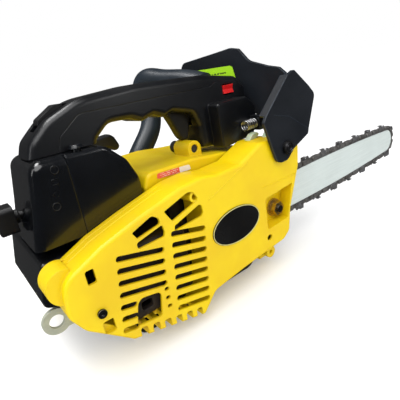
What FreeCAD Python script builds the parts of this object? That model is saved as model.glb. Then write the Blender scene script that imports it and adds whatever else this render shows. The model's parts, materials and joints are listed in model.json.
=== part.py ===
import FreeCAD
import Part
import Sketcher
import math
import os
from types import SimpleNamespace

# Top-handle chainsaw with a short carving bar.  Millimetres.
# +X runs forward along the bar, +Y is the operator's left, +Z is up, Z = 0 is the resting plane.

Vector = FreeCAD.Vector
Placement = FreeCAD.Placement
Rotation = FreeCAD.Rotation

SIZES = [
    # shafts and planes of the machine
    ("crank_x", 36.0, "crankshaft axis, forward"),
    ("axis_z", 68.5, "height of the crankshaft axis and of the bar's centre line"),
    ("house_right", -42.0, "right face of the engine housing"),
    ("house_left", 60.0, "left face of the engine housing"),
    ("house_wall", 4.0, "wall of the engine housing"),
    ("house_top", 112.0, "top of the engine housing"),
    ("cover_out", -75.6, "outer face of the clutch cover"),
    ("cover_rim", -44.6, "rim of the clutch cover and face of the bar pad"),
    ("cover_wall", 2.5, "wall of the clutch cover"),
    ("slot_w", 4.8, "height of a cooling slot"),
    ("slot_pitch", 9.4, "step from slot to slot"),
    ("starter_out", 96.0, "outer face of the starter cover"),
    ("shell_wall", 2.5, "wall of the moulded covers"),
    ("seam", 0.3, "gap between neighbouring mouldings"),
    # bar and chain
    ("bar_thick", 3.2, "guide bar thickness"),
    ("bar_groove", 1.5, "groove in the bar's edge"),
    ("bar_half", 20.6, "half height of the bar at its widest"),
    ("bar_tail", 71.0, "rear end of the bar"),
    ("nose_r", 16.0, "radius of the bar's nose"),
    ("chain_pitch", 9.525, "distance between neighbouring rivets"),
    ("drive_links", 44, "number of drive links"),
    ("sprocket_teeth", 6, "teeth of the drive sprocket"),
    ("rivet_r", 1.6, "rivet radius"),
    ("link_thick", 1.3, "thickness of every chain link"),
    ("stud_x", 104.0, "bar stud, forward"),
    ("stud_r", 4.0, "bar stud radius"),
    # engine
    ("bore_d", 34.0, "cylinder bore"),
    ("stroke", 28.0, "piston stroke"),
    ("rod_length", 50.0, "connecting rod, centre to centre"),
    ("case_r", 34.0, "crankcase outer radius"),
    ("web_r", 26.0, "crank web radius"),
    ("shaft_r", 6.0, "crankshaft radius"),
    ("wrist_r", 4.0, "wrist pin radius"),
    ("crank_pin_r", 5.0, "crank pin radius"),
    ("running_gap", 0.04, "radial gap of a running fit"),
    ("flywheel_r", 38.0, "flywheel radius"),
    ("drum_r", 26.0, "clutch drum radius"),
    # handles and guard
    ("handle_mid", -12.0, "centre plane of the top handle"),
    ("handle_w", 36.0, "width of the top handle"),
    ("tube_r", 12.0, "front handle radius"),
    ("guard_x", 111.0, "guard pivot, forward"),
    ("guard_z", 132.0, "guard pivot, height"),
    ("guard_thick", 3.0, "thickness of the hand guard"),
    ("guard_right", -80.0, "outer face of the guard's right arm"),
    ("pivot_r", 3.5, "guard bolt radius"),
    ("trigger_w", 11.0, "width of the throttle trigger"),
    # caps and small parts
    ("cap_r", 13.0, "tank cap radius"),
    ("eye_r", 5.6, "lanyard eye hole radius"),
    ("eye_thick", 3.0, "lanyard eye plate thickness"),
]

doc = FreeCAD.newDocument("chainsaw")
sheet = doc.addObject("Spreadsheet::Sheet", "dims")
for row, (alias, value, note) in enumerate(SIZES, start=1):
    sheet.set(f"A{row}", str(value))
    sheet.set(f"B{row}", note)
    sheet.setAlias(f"A{row}", alias)
doc.recompute()
D = SimpleNamespace(**{alias: float(sheet.get(alias)) for alias, value, note in SIZES})
nodes = []


# ---------------------------------------------------------------- building blocks

def bind(item, name, value):
    """A size given as text is an expression on the sheet, a number stays as it is."""
    if isinstance(value, str):
        item.setExpression(name, value)
    else:
        setattr(item, name, value)


def node(item, label):
    item.Label = label
    nodes.append(item)
    return item


def rounded(points):
    """Closed outline from (x, y) or (x, y, radius) corners, as lines and tangent arcs."""
    corners = []
    count = len(points)
    for i, point in enumerate(points):
        here = Vector(point[0], point[1], 0)
        radius = point[2] if len(point) > 2 else 0
        before = Vector(points[i - 1][0], points[i - 1][1], 0) - here
        after = Vector(points[(i + 1) % count][0], points[(i + 1) % count][1], 0) - here
        if radius == 0:
            corners.append((here, None, here))
            continue
        half = before.getAngle(after) / 2
        room = 0.49 * min(before.Length, after.Length)
        reach = min(radius / math.tan(half), room)
        radius = reach * math.tan(half)
        before.normalize()
        after.normalize()
        bisector = (before + after).normalize()
        middle = here + bisector * (radius / math.sin(half) - radius)
        corners.append((here + before * reach, middle, here + after * reach))
    edges = []
    for i, (start, middle, end) in enumerate(corners):
        if middle is not None:
            edges.append(Part.Arc(start, middle, end))
        following = corners[(i + 1) % count][0]
        if (following - end).Length > 1e-6:
            edges.append(Part.LineSegment(end, following))
    return edges


def inset(points, distance):
    """The same corners moved inwards by a distance."""
    area = sum(a[0] * b[1] - b[0] * a[1] for a, b in zip(points, points[1:] + points[:1]))
    side = 1 if area > 0 else -1
    result = []
    for i, point in enumerate(points):
        here = Vector(point[0], point[1], 0)
        back = (here - Vector(points[i - 1][0], points[i - 1][1], 0)).normalize()
        following = points[(i + 1) % len(points)]
        ahead = (Vector(following[0], following[1], 0) - here).normalize()
        normal_a = Vector(-back.y, back.x, 0) * side
        normal_b = Vector(-ahead.y, ahead.x, 0) * side
        shift = (normal_a + normal_b) * (distance / (1 + normal_a.dot(normal_b)))
        radius = max(point[2] - distance, 0.5) if len(point) > 2 and point[2] > 0 else 0
        result.append((here.x + shift.x, here.y + shift.y, radius))
    return result


def rectangle(x0, y0, x1, y1, radius=0):
    return [(x0, y0, radius), (x1, y0, radius), (x1, y1, radius), (x0, y1, radius)]


def slot(x0, y0, x1, y1, width):
    """Round-ended slot between two points."""
    along = Vector(x1 - x0, y1 - y0, 0).normalize()
    side = Vector(-along.y, along.x, 0) * (width / 2)
    a = Vector(x0, y0, 0)
    b = Vector(x1, y1, 0)
    return [
        Part.LineSegment(a + side, b + side),
        Part.Arc(b + side, b + along * (width / 2), b - side),
        Part.LineSegment(b - side, a - side),
        Part.Arc(a - side, a - along * (width / 2), a + side),
    ]


class Circle:
    """Circle in a sketch whose radius is read from the sheet."""

    def __init__(self, x, y, radius):
        self.centre = Vector(x, y, 0)
        self.radius = radius


PLANES = {"XY": (1, "z"), "XZ": (-1, "y"), "YZ": (1, "x")}


class Piece:
    """One PartDesign body, built from outlines on its own origin planes."""

    def __init__(self, name):
        self.body = doc.addObject("PartDesign::Body", name)
        self.body.AllowCompound = True
        self.name = name
        self.steps = 0

    def sketch(self, plane, at, outlines):
        self.steps += 1
        sketch = self.body.newObject("Sketcher::SketchObject", f"{self.name}_outline_{self.steps}")
        roles = {origin.Role: origin for origin in self.body.Origin.OriginFeatures}
        sketch.AttachmentSupport = [(roles[f"{plane}_Plane"], "")]
        sketch.MapMode = "FlatFace"
        sign = PLANES[plane][0]
        if isinstance(at, str):
            sketch.setExpression("AttachmentOffset.Base.z", f"{sign} * ({at})")
        else:
            sketch.AttachmentOffset = Placement(Vector(0, 0, sign * at), Rotation())
        for outline in outlines:
            if isinstance(outline, Circle):
                radius = outline.radius
                size = 1.0 if isinstance(radius, str) else radius
                index = sketch.addGeometry(Part.Circle(outline.centre, Vector(0, 0, 1), size), False)
                rule = sketch.addConstraint(Sketcher.Constraint("Radius", index, size))
                if isinstance(radius, str):
                    sketch.setExpression(f"Constraints[{rule}]", radius)
            elif isinstance(outline[0], tuple):
                sketch.addGeometry(rounded(outline), False)
            else:
                sketch.addGeometry(outline, False)
        return sketch

    def feature(self, kind, plane, at, toward, length, outlines):
        sketch = self.sketch(plane, at, outlines)
        feature = self.body.newObject(f"PartDesign::{kind}", f"{self.name}_{kind.lower()}_{self.steps}")
        feature.Profile = sketch
        bind(feature, "Length", length)
        # a pad grows along the sketch normal and a pocket sinks against it
        along = toward * PLANES[plane][0]
        feature.Reversed = along < 0 if kind == "Pad" else along > 0
        return feature

    def pad(self, plane, at, toward, length, *outlines):
        """Adds material from the plane at a place, towards +1 or -1 along its axis."""
        self.feature("Pad", plane, at, toward, length, outlines)
        return self

    def cut(self, plane, at, toward, length, *outlines):
        """Takes material away, and makes sure that some went."""
        doc.recompute()
        before = self.body.Shape.Volume
        feature = self.feature("Pocket", plane, at, toward, length, outlines)
        doc.recompute()
        if self.body.Shape.Volume > before - 1e-3:
            raise RuntimeError(f"{feature.Name} cuts nothing")
        return self

    def round(self, radius, chosen, kind="Fillet"):
        """Fillets or chamfers the edges for which chosen(edge) holds."""
        doc.recompute()
        base = self.body.Tip
        names = [f"Edge{i + 1}" for i, edge in enumerate(base.Shape.Edges) if chosen(edge)]
        self.steps += 1
        feature = self.body.newObject(f"PartDesign::{kind}", f"{self.name}_{kind.lower()}_{self.steps}")
        feature.Base = (base, names)
        bind(feature, "Radius" if kind == "Fillet" else "Size", radius)
        doc.recompute()
        return self


def middle_of(edge):
    return edge.valueAt((edge.FirstParameter + edge.LastParameter) / 2)


def flat_on(axis, value, tolerance=0.01):
    """Chooses edges that lie wholly in the plane where one coordinate has a value."""
    def chosen(edge):
        ends = [getattr(vertex.Point, axis) for vertex in edge.Vertexes]
        ends.append(getattr(middle_of(edge), axis))
        return all(abs(end - value) < tolerance for end in ends)
    return chosen


AXES = {"X": Rotation(Vector(0, 1, 0), 90), "Y": Rotation(Vector(1, 0, 0), -90), "Z": Rotation()}


def cylinder(name, radius, height, base, axis="Y"):
    """Cylinder that starts at base and runs along an axis."""
    item = doc.addObject("Part::Cylinder", name)
    bind(item, "Radius", radius)
    bind(item, "Height", height)
    turn = AXES[axis] if isinstance(axis, str) else axis
    item.Placement = Placement(Vector(*base), turn)
    return item


def cone(name, radius_a, radius_b, height, base, axis="Y"):
    item = doc.addObject("Part::Cone", name)
    bind(item, "Radius1", radius_a)
    bind(item, "Radius2", radius_b)
    bind(item, "Height", height)
    item.Placement = Placement(Vector(*base), AXES[axis] if isinstance(axis, str) else axis)
    return item


def box(name, length, width, height, corner, turn=None):
    item = doc.addObject("Part::Box", name)
    bind(item, "Length", length)
    bind(item, "Width", width)
    bind(item, "Height", height)
    item.Placement = Placement(Vector(*corner), turn or Rotation())
    return item


def boolean(kind, name, items):
    item = doc.addObject(f"Part::Multi{kind}", name)
    item.Shapes = items
    return item


def fuse(name, *items):
    return boolean("Fuse", name, list(items))


def common(name, *items):
    return boolean("Common", name, list(items))


def cut(name, base, *tools):
    item = doc.addObject("Part::Cut", name)
    item.Base = base
    item.Tool = tools[0] if len(tools) == 1 else fuse(f"{name}_tools", *tools)
    return item


def ring(name, outer, inner, height, base, axis="Y"):
    """Round sleeve; its bore runs right through."""
    return cut(name, cylinder(f"{name}_outer", outer, height, base, axis),
               cylinder(f"{name}_bore", inner, height, base, axis))


def group(name, shapes):
    """Several separate solids that share one node."""
    item = doc.addObject("Part::Feature", name)
    item.Shape = Part.makeCompound(shapes)
    return item


# ---------------------------------------------------------------- engine

CRANK = (D.crank_x, D.axis_z)
PISTON_TOP = D.crank_x - D.stroke / 2 - D.rod_length - 14.0   # crown at top dead centre
WRIST_X = D.crank_x - D.stroke / 2 - D.rod_length
PIN_X = D.crank_x - D.stroke / 2
BARREL_END = 4.5                                               # barrel foot inside the case mouth
HEAD_X = PISTON_TOP - 1.0


def crankcase():
    """Round case around the crank with a seat for each main bearing and a mouth for the barrel."""
    piece = Piece("crankcase")
    x, z = CRANK
    piece.pad("XZ", -29.0, 1, 58.0, Circle(x, z, "dims.case_r"))
    piece.pad("XZ", -29.0, 1, 58.0, rectangle(x - 36, z - 24, x - 8, z + 24))
    piece.cut("XZ", -21.0, 1, 42.0, Circle(x, z, "dims.web_r + 2.0"))
    piece.cut("XZ", -30.0, 1, 60.0, Circle(x, z, 13.0))
    piece.cut("YZ", x - 37.0, 1, 20.0, Circle(0, z, "dims.bore_d / 2 + 2.5"))
    node(piece.body, "crankcase")


def cylinder_barrel():
    """Finned barrel lying along -X, with an exhaust stub on the right and an intake stub on top."""
    length = BARREL_END - HEAD_X + 6.0
    start = HEAD_X - 6.0
    liner = cylinder("barrel_liner", "dims.bore_d / 2 + 2.4", length, (start, 0, D.axis_z), "X")
    fins = []
    for i in range(7):
        fin = box(f"barrel_fin_{i}", 2.0, 60.0, 60.0, (start + 2.5 + i * 6.6, -30, D.axis_z - 30))
        fins.append(fin)
    flange = box("barrel_flange", 4.0, 46.0, 46.0, (-4.6, -23, D.axis_z - 23))
    exhaust = box("exhaust_stub", 18.0, 16.0, 16.0, (-34, -33, D.axis_z - 8))
    intake = box("intake_stub", 17.0, 18.0, 17.0, (BOOT_X - 8.5, -9, D.axis_z + 17))
    solid = fuse("barrel_solid", liner, flange, exhaust, intake, *fins)
    bore = cylinder("barrel_bore", "dims.bore_d / 2", 80.0, (HEAD_X, 0, D.axis_z), "X")
    plug = cylinder("barrel_plug_hole", 5.0, 10.0, (start - 1, 0, D.axis_z), "X")
    port = cylinder("exhaust_port", 5.5, 20.0, (-25, -34, D.axis_z), "Y")
    inlet = cylinder("intake_port", 6.0, 24.0, (BOOT_X, 0, D.axis_z + 14), "Z")
    node(cut("barrel", solid, bore, plug, port, inlet), "cylinder_barrel")


def piston():
    """Piston at top dead centre, open towards the crank, with two ring grooves."""
    skirt = 30.0
    body = cylinder("piston_blank", "dims.bore_d / 2 - dims.running_gap", skirt,
                    (PISTON_TOP, 0, D.axis_z), "X")
    hollow = cylinder("piston_hollow", "dims.bore_d / 2 - 3.0", skirt, (PISTON_TOP + 5, 0, D.axis_z), "X")
    bosses = cylinder("piston_bosses", "dims.wrist_r + 3.0", "dims.bore_d - 6.0",
                      (WRIST_X, -D.bore_d / 2 + 3, D.axis_z), "Y")
    gap = box("piston_boss_gap", 24.0, 12.0, 24.0, (WRIST_X - 8.8, -6, D.axis_z - 12))
    pin_hole = cylinder("piston_pin_hole", "dims.wrist_r", 40.0, (WRIST_X, -20, D.axis_z), "Y")
    grooves = [ring(f"piston_groove_{i}", 20.0, "dims.bore_d / 2 - 2.0", 1.5,
                    (PISTON_TOP + 2.2 + 3.2 * i, 0, D.axis_z), "X") for i in range(2)]
    hollowed = cut("piston_hollowed", body, hollow)
    bossed = cut("piston_bossed", fuse("piston_with_bosses", hollowed, bosses), gap)
    node(cut("piston_machined", bossed, pin_hole, *grooves), "piston")
    rings = [ring(f"piston_ring_{i}", "dims.bore_d / 2 - 0.005", "dims.bore_d / 2 - 1.9", 1.4,
                  (PISTON_TOP + 2.25 + 3.2 * i, 0, D.axis_z), "X") for i in range(2)]
    node(fuse("ring_pair", *rings), "piston_rings")


def connecting_rod():
    """Forged rod between the wrist pin and the crank pin."""
    small = cylinder("rod_small_end", "dims.wrist_r + 3.0", 10.0, (WRIST_X, -5, D.axis_z), "Y")
    big = cylinder("rod_big_end", "dims.crank_pin_r + 4.5", 10.0, (PIN_X, -5, D.axis_z), "Y")
    shank = box("rod_shank", D.rod_length - 10, 6.0, 9.0, (WRIST_X + 5, -3, D.axis_z - 4.5))
    holes = [cylinder("rod_small_hole", "dims.wrist_r + dims.running_gap", 12.0,
                      (WRIST_X, -6, D.axis_z)),
             cylinder("rod_big_hole", "dims.crank_pin_r + dims.running_gap", 12.0,
                      (PIN_X, -6, D.axis_z))]
    node(cut("rod_bored", fuse("rod_blank", small, big, shank), *holes), "connecting_rod")


def engine_pins():
    """Hollow wrist pin and solid crank pin."""
    wrist = ring("wrist_pin", "dims.wrist_r", "dims.wrist_r - 1.8", "dims.bore_d - 3.0",
                 (WRIST_X, -D.bore_d / 2 + 1.5, D.axis_z))
    crank = cylinder("crank_pin", "dims.crank_pin_r", 19.4, (PIN_X, -9.7, D.axis_z))
    node(fuse("pin_pair", wrist, crank), "engine_pins")


def crankshaft():
    """Two stub shafts, each with a counterweighted web."""
    x, z = CRANK
    right = cylinder("shaft_right", "dims.shaft_r", 60.5, (x, -70.5, z))
    left = cylinder("shaft_left", "dims.shaft_r", 56.0, (x, 10, z))
    webs = []
    for side, start in (("right", -20.0), ("left", 10.0)):
        disc = cylinder(f"web_{side}_disc", "dims.web_r", 10.0, (x, start, z))
        flanks = [box(f"web_{side}_flank_{i}", 30.0, 12.0, 20.0,
                      (x - 31, start - 1, z + 11 if i else z - 31)) for i in range(2)]
        webs.append(cut(f"web_{side}", disc, *flanks))
    node(fuse("crank_blank", right, left, *webs), "crankshaft")


def bearings():
    """Main bearings in the case and the drum's needle sleeve; rubber seals on shaft and tanks."""
    x, z = CRANK
    races = [ring(f"bearing_{start}", 13.0, "dims.shaft_r + 0.03", 7.6, (x, start, z))
             for start in (-28.6, 21.0)]
    sleeve = ring("needle_sleeve", 8.5, "dims.shaft_r + 0.03", 8.6, (x, -52.1, z))
    node(fuse("bearing_set", sleeve, *races), "shaft_bearings")
    seals = [ring(f"seal_{start}", 13.0, "dims.shaft_r + 0.06", 2.4, (x, start, z))
             for start in (-31.2, 28.8)]
    for name, seat, axis, out in CAP_SEATS:
        seals.append(ring(f"{name}_gasket", "dims.cap_r - 0.5", "dims.cap_r - 3.1", 1.2, seat, axis))
    node(fuse("seal_set", *seals), "seals")


CAP_SEATS = (("fuel", (-105, 38, 109.6), "Z", Vector(0, 0, 1)),
             ("oil", (110, D.house_left + 0.1, 62), "Y", Vector(0, 1, 0)))


def flywheel():
    """Magneto flywheel with a ring of cooling vanes and two recoil pawl posts."""
    x, z = CRANK
    disc = cylinder("flywheel_disc", "dims.flywheel_r", 7.0, (x, 38, z))
    hub = cylinder("flywheel_hub", 13.0, 18.0, (x, 37, z))
    vanes = []
    for i in range(14):
        angle = i * 360 / 14
        vane = box(f"flywheel_vane_{i}", D.flywheel_r - 16.0, 9.0, 1.8, (0, 0, 0))
        turn = Rotation(Vector(0, 1, 0), angle)
        vane.Placement = Placement(Vector(x, 45, z) + turn.multVec(Vector(14, 0, 0)), turn)
        vanes.append(vane)
    hole = cylinder("flywheel_bore", "dims.shaft_r", 40.0, (x, 30, z))
    nut = cylinder("flywheel_nut", 8.0, 6.0, (x, 55.0, z))
    node(cut("flywheel_bored", fuse("flywheel_blank", disc, hub, nut, *vanes), hole), "flywheel")


def ignition():
    """Coil block beside the flywheel, its lead and the spark plug in the head."""
    x, z = CRANK
    coil = box("coil_block", 24.0, 12.0, 12.0, (x - 74, 38, z - 5))
    legs = [box(f"coil_leg_{i}", 12.0, 8.0, 4.0, (x - 51, 40, z - 5 + 8 * i)) for i in range(2)]
    node(fuse("coil_solid", coil, *legs), "ignition_coil")
    start = HEAD_X - 6.0
    shell = cylinder("plug_thread", 5.0, 9.0, (start - 3, 0, z), "X")
    collar = cylinder("plug_collar", 8.0, 5.0, (start - 8, 0, z), "X")
    insulator = cylinder("plug_insulator", 4.5, 12.0, (start - 20, 0, z), "X")
    node(fuse("plug_solid", shell, collar, insulator), "spark_plug")


def plug_lead():
    """Ignition lead from the coil to the cap on the spark plug, one smooth tube."""
    start = HEAD_X - 26.0
    cap = cylinder("lead_cap", 7.5, 14.0, (start - 2, 0, D.axis_z), "X")
    hollow = cylinder("lead_cap_hole", 4.5, 14.0, (start - 0.2, 0, D.axis_z), "X")
    radius = 18.0
    z = D.axis_z
    bend_x = start + 3
    straight = Part.LineSegment(Vector(bend_x, 0, z), Vector(bend_x, 26, z)).toShape()
    middle = Vector(bend_x + radius * (1 - math.cos(math.pi / 4)), 26 + radius * math.sin(math.pi / 4), z)
    bend = Part.Arc(Vector(bend_x, 26, z), middle, Vector(bend_x + radius, 26 + radius, z)).toShape()
    run = Part.LineSegment(Vector(bend_x + radius, 26 + radius, z),
                           Vector(D.crank_x - 74, 26 + radius, z)).toShape()
    circle = Part.Wire(Part.Circle(Vector(bend_x, 0, z), Vector(0, 1, 0), 2.6).toShape())
    tube = Part.Wire([straight, bend, run]).makePipeShell([circle], True, True)
    lead = doc.addObject("Part::Feature", "lead_tube")
    lead.Shape = tube
    node(cut("lead_with_cap", fuse("lead_solid", cap, lead), hollow), "plug_lead")


def muffler():
    """Pressed box on the barrel's right side with a round inlet and an outlet towards the window."""
    piece = Piece("muffler")
    piece.pad("XZ", -33.2, -1, 36.0, rectangle(-79, 37, -13, 99, 9))
    piece.round(4.0, flat_on("y", -69.2))
    piece.cut("XZ", -34.6, -1, 30.0, rectangle(-75.0, 41.0, -17.0, 95.0, 6))
    piece.cut("XZ", -33.0, -1, 3.0, Circle(-25, D.axis_z, 5.5))
    piece.cut("XZ", -60.0, -1, 12.0, rectangle(-66, 44, -56, 52, 2))
    node(piece.body, "muffler")


def clutch():
    """Centrifugal clutch: hub on the shaft, two shoes, a garter spring, and the drum outside."""
    x, z = CRANK
    hub = Piece("clutch_hub")
    hub.pad("XZ", -68.0, 1, 13.0, Circle(x, z, 11.0))
    hub.pad("XZ", -66.5, 1, 10.0, rectangle(x - 6, z - 20, x + 6, z + 20, 2))
    hub.cut("XZ", -70.0, 1, 20.0, Circle(x, z, "dims.shaft_r"))
    node(hub.body, "clutch_hub")
    shoe_ring = ring("shoe_ring", "dims.drum_r - 3.2", 13.0, 10.0, (x, -66.5, z))
    splits = [box("shoe_split", 13.0, 12.0, 70.0, (x - 6.5, -67.5, z - 35)),
              ring("shoe_spring_groove", 19.6, 16.4, 3.4, (x, -66.6, z))]
    node(cut("shoe_pair", shoe_ring, *splits), "clutch_shoes")
    coil = doc.addObject("Part::Torus", "clutch_spring_ring")
    coil.Radius1 = 18.0
    coil.Radius2 = 1.3
    coil.Placement = Placement(Vector(x, -64.9, z), AXES["Y"])
    gaps = box("clutch_spring_gap", 12.2, 6.0, 70.0, (x - 6.1, -68.0, z - 35))
    node(cut("clutch_spring_cut", coil, gaps), "clutch_spring")

    drum = Piece("clutch_drum")
    drum.pad("XZ", -70.0, 1, 19.5, Circle(x, z, "dims.drum_r"))
    drum.cut("XZ", -70.0, 1, 17.8, Circle(x, z, "dims.drum_r - 1.6"))
    drum.pad("XZ", -50.6, 1, 7.1, Circle(x, z, 9.6))
    drum.pad("XZ", -50.6, 1, 3.2, Circle(x, z, 14.3))
    drum.pad("XZ", -45.0, 1, 1.5, Circle(x, z, 14.3))
    teeth = []
    for i in range(int(D.sprocket_teeth)):
        angle = math.pi + 2 * math.pi * i / D.sprocket_teeth
        out = Vector(math.cos(angle), math.sin(angle), 0)
        side = Vector(-out.y, out.x, 0) * 5.6
        corners = [out * 10.4 - side, out * 16.0 - side, out * 16.0 + side, out * 10.4 + side]
        teeth.append([(x + corner.x, z + corner.y) for corner in corners])
    drum.cut("XZ", -50.5, 1, 8.0, *teeth)
    drum.cut("XZ", -53.0, 1, 12.0, Circle(x, z, 8.5))
    node(drum.body, "clutch_drum")


def oil_pump():
    """Ring-shaped pump behind the sprocket with its delivery nipple."""
    x, z = CRANK
    body = cylinder("pump_body", 20.0, 7.0, (x, -42.0, z))
    nipple = box("pump_nipple", 7.6, 5.0, 8.0, (x + 14, -41, z - 4))
    hole = cylinder("pump_bore", "dims.shaft_r + 0.6", 12.0, (x, -44, z))
    node(cut("pump_bored", fuse("pump_blank", body, nipple), hole), "oil_pump")


# ---------------------------------------------------------------- bar and chain

def bar_outline(shrink):
    """Slightly bellied bar with a round nose, drawn in by a distance."""
    z = D.axis_z
    half = D.bar_half - shrink
    nose = D.nose_r - shrink
    tail = D.bar_tail + shrink
    tail_half = D.bar_half - 3.6 - shrink
    mid_x = (D.bar_tail + nose_x) / 2
    top = Part.Arc(Vector(tail + 5, z + tail_half, 0), Vector(mid_x, z + half, 0), Vector(nose_x, z + nose, 0))
    tip = Part.Arc(Vector(nose_x, z + nose, 0), Vector(nose_x + nose, z, 0), Vector(nose_x, z - nose, 0))
    low = Part.Arc(Vector(nose_x, z - nose, 0), Vector(mid_x, z - half, 0), Vector(tail + 5, z - tail_half, 0))
    lower = Part.LineSegment(Vector(tail + 5, z - tail_half, 0), Vector(tail, z - tail_half + 8, 0))
    back = Part.LineSegment(Vector(tail, z - tail_half + 8, 0), Vector(tail, z + tail_half - 8, 0))
    upper = Part.LineSegment(Vector(tail, z + tail_half - 8, 0), Vector(tail + 5, z + tail_half, 0))
    return [top, tip, low, lower, back, upper]


def arc_points(start, middle, end, count):
    arc = Part.Arc(start, middle, end)
    span = arc.LastParameter - arc.FirstParameter
    return [arc.value(arc.FirstParameter + span * i / count) for i in range(count + 1)]


def chain_path(nose_at):
    """Rivet line around the sprocket, the bar's edges and the nose, as a dense closed polygon."""
    rise = 3.6
    z = D.axis_z
    sprocket_r = D.chain_pitch / 2 / math.sin(math.pi / (2 * D.sprocket_teeth))
    mid_x = (D.bar_tail + nose_at) / 2
    high = Vector(mid_x, z + D.bar_half + rise, 0)
    low = Vector(mid_x, z - D.bar_half - rise, 0)
    nose = D.nose_r + rise
    tail_half = D.bar_half - 3.6 + rise
    points = arc_points(Vector(D.bar_tail + 5, z + tail_half, 0), high, Vector(nose_at, z + nose, 0), 240)
    points += arc_points(Vector(nose_at, z + nose, 0), Vector(nose_at + nose, z, 0),
                         Vector(nose_at, z - nose, 0), 240)[1:]
    points += arc_points(Vector(nose_at, z - nose, 0), low, Vector(D.bar_tail + 5, z - tail_half, 0), 240)[1:]
    points += [Vector(D.crank_x + sprocket_r * math.cos(a), z + sprocket_r * math.sin(a), 0)
               for a in (math.radians(270 - i * 0.75) for i in range(241))]
    return hull(points)


def hull(points):
    """Convex outline of the points, anticlockwise."""
    ordered = sorted(set((round(p.x, 6), round(p.y, 6)) for p in points))

    def half(line):
        kept = []
        for p in line:
            while len(kept) > 1 and ((kept[-1][0] - kept[-2][0]) * (p[1] - kept[-2][1])
                                     - (kept[-1][1] - kept[-2][1]) * (p[0] - kept[-2][0])) <= 0:
                kept.pop()
            kept.append(p)
        return kept[:-1]
    return [Vector(x, y, 0) for x, y in half(ordered) + half(ordered[::-1])]


def length_of(path):
    return sum((b - a).Length for a, b in zip(path, path[1:] + path[:1]))


def nose_for_chain():
    """Nose centre at which the chain's links close the loop exactly."""
    near, far = D.bar_tail + 100, D.bar_tail + 900
    wanted = 2 * D.drive_links * D.chain_pitch
    for step in range(50):
        middle = (near + far) / 2
        if length_of(chain_path(middle)) < wanted:
            near = middle
        else:
            far = middle
    return (near + far) / 2


nose_x = nose_for_chain()


def rivet_points():
    """Rivet centres around the loop; the first drive link sits at the sprocket's rear."""
    path = chain_path(nose_x)
    start = min(range(len(path)), key=lambda i: path[i].x)
    path = path[start:] + path[:start]
    total = length_of(path)
    count = int(2 * D.drive_links)
    lengths = [0.0]
    for a, b in zip(path, path[1:] + path[:1]):
        lengths.append(lengths[-1] + (b - a).Length)
    points = []
    leg = 0
    for i in range(count):
        along = (i + 0.5) * total / count
        while lengths[leg + 1] < along:
            leg += 1
        a = path[leg % len(path)]
        b = path[(leg + 1) % len(path)]
        points.append(a + (b - a) * ((along - lengths[leg]) / (lengths[leg + 1] - lengths[leg])))
    return points


RIVET_CLEAR = 0.15


def plate(corners, y_low, thick, holes):
    """Flat link plate in its own frame: rivets on the x axis, the outside of the loop at +z."""
    wire = Part.Wire([edge.toShape() for edge in rounded(corners)])
    face = Part.Face(wire)
    solid = face.extrude(Vector(0, 0, thick))
    for x in holes:
        solid = solid.cut(Part.makeCylinder(D.rivet_r + RIVET_CLEAR, thick, Vector(x, 0, 0)))
    solid.rotate(Vector(0, 0, 0), Vector(1, 0, 0), 90)
    solid.translate(Vector(0, y_low + thick, 0))
    return solid


def placed(shape, a, b):
    """The link moved onto two rivet centres of the loop (x, z), outside of the loop outwards."""
    middle = (a + b) / 2
    angle = math.atan2(b.y - a.y, b.x - a.x)
    copy = shape.copy()
    copy.rotate(Vector(0, 0, 0), Vector(0, 1, 0), -math.degrees(angle))
    copy.translate(Vector(middle.x, 0, middle.y))
    return copy


def chain():
    """Drive links, side straps, left and right cutters and rivets of the closed loop."""
    points = rivet_points()
    count = len(points)
    mid_y = D.cover_rim - D.bar_thick / 2
    thick = D.link_thick
    half = D.chain_pitch / 2
    right = mid_y - 1.5 * thick
    left = mid_y + 0.5 * thick
    drives, straps, cutters, rivets = [], [], [], []
    for i in range(count):
        a, b = points[i - 1], points[i]
        half = (b - a).Length / 2
        if i % 2 == 0:
            drives.append(placed(drive_link(half, mid_y - thick / 2), a, b))
            continue
        turn = (i // 2) % 4
        for side, y_low in ((0, right), (2, left)):
            link = cutter(half, y_low, side) if turn == side else tie_strap(half, y_low)
            (cutters if turn == side else straps).append(placed(link, a, b))
    for point in points:
        pin = Part.makeCylinder(D.rivet_r, 3 * thick, Vector(point.x, right, point.y), Vector(0, 1, 0))
        heads = [Part.makeCylinder(D.rivet_r + 0.8, 0.5, Vector(point.x, y, point.y), Vector(0, 1, 0))
                 for y in (right - 0.5, right + 3 * thick)]
        rivets.append(pin.multiFuse(heads).removeSplitter())
    for label, shapes in (("chain_drive_links", drives), ("chain_tie_straps", straps),
                          ("chain_cutters", cutters), ("chain_rivets", rivets)):
        node(group(label, shapes), label)


# link outlines: the loop runs anticlockwise seen from the right, so its outside is at the link's -z

def drive_link(half, y_low):
    """Middle link with the tang that runs in the bar's groove."""
    corners = [(-half - 2.8, 2.9, 2), (-half - 2.8, -2.9, 2), (half + 2.8, -2.9, 2), (half + 2.8, 2.9, 1),
               (3.4, 3.2, 1), (1.6, 8.0, 1), (-1.6, 8.0, 1), (-3.4, 3.2, 1)]
    return plate(corners, y_low, D.link_thick, (-half, half))


def tie_strap(half, y_low):
    """Plain side link."""
    corners = [(-half - 2.9, -3.1, 2.8), (half + 2.9, -3.1, 2.8), (half + 2.9, 2.9, 2.0), (-half - 2.9, 2.9, 2.0)]
    return plate(corners, y_low, D.link_thick, (-half, half))


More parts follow.
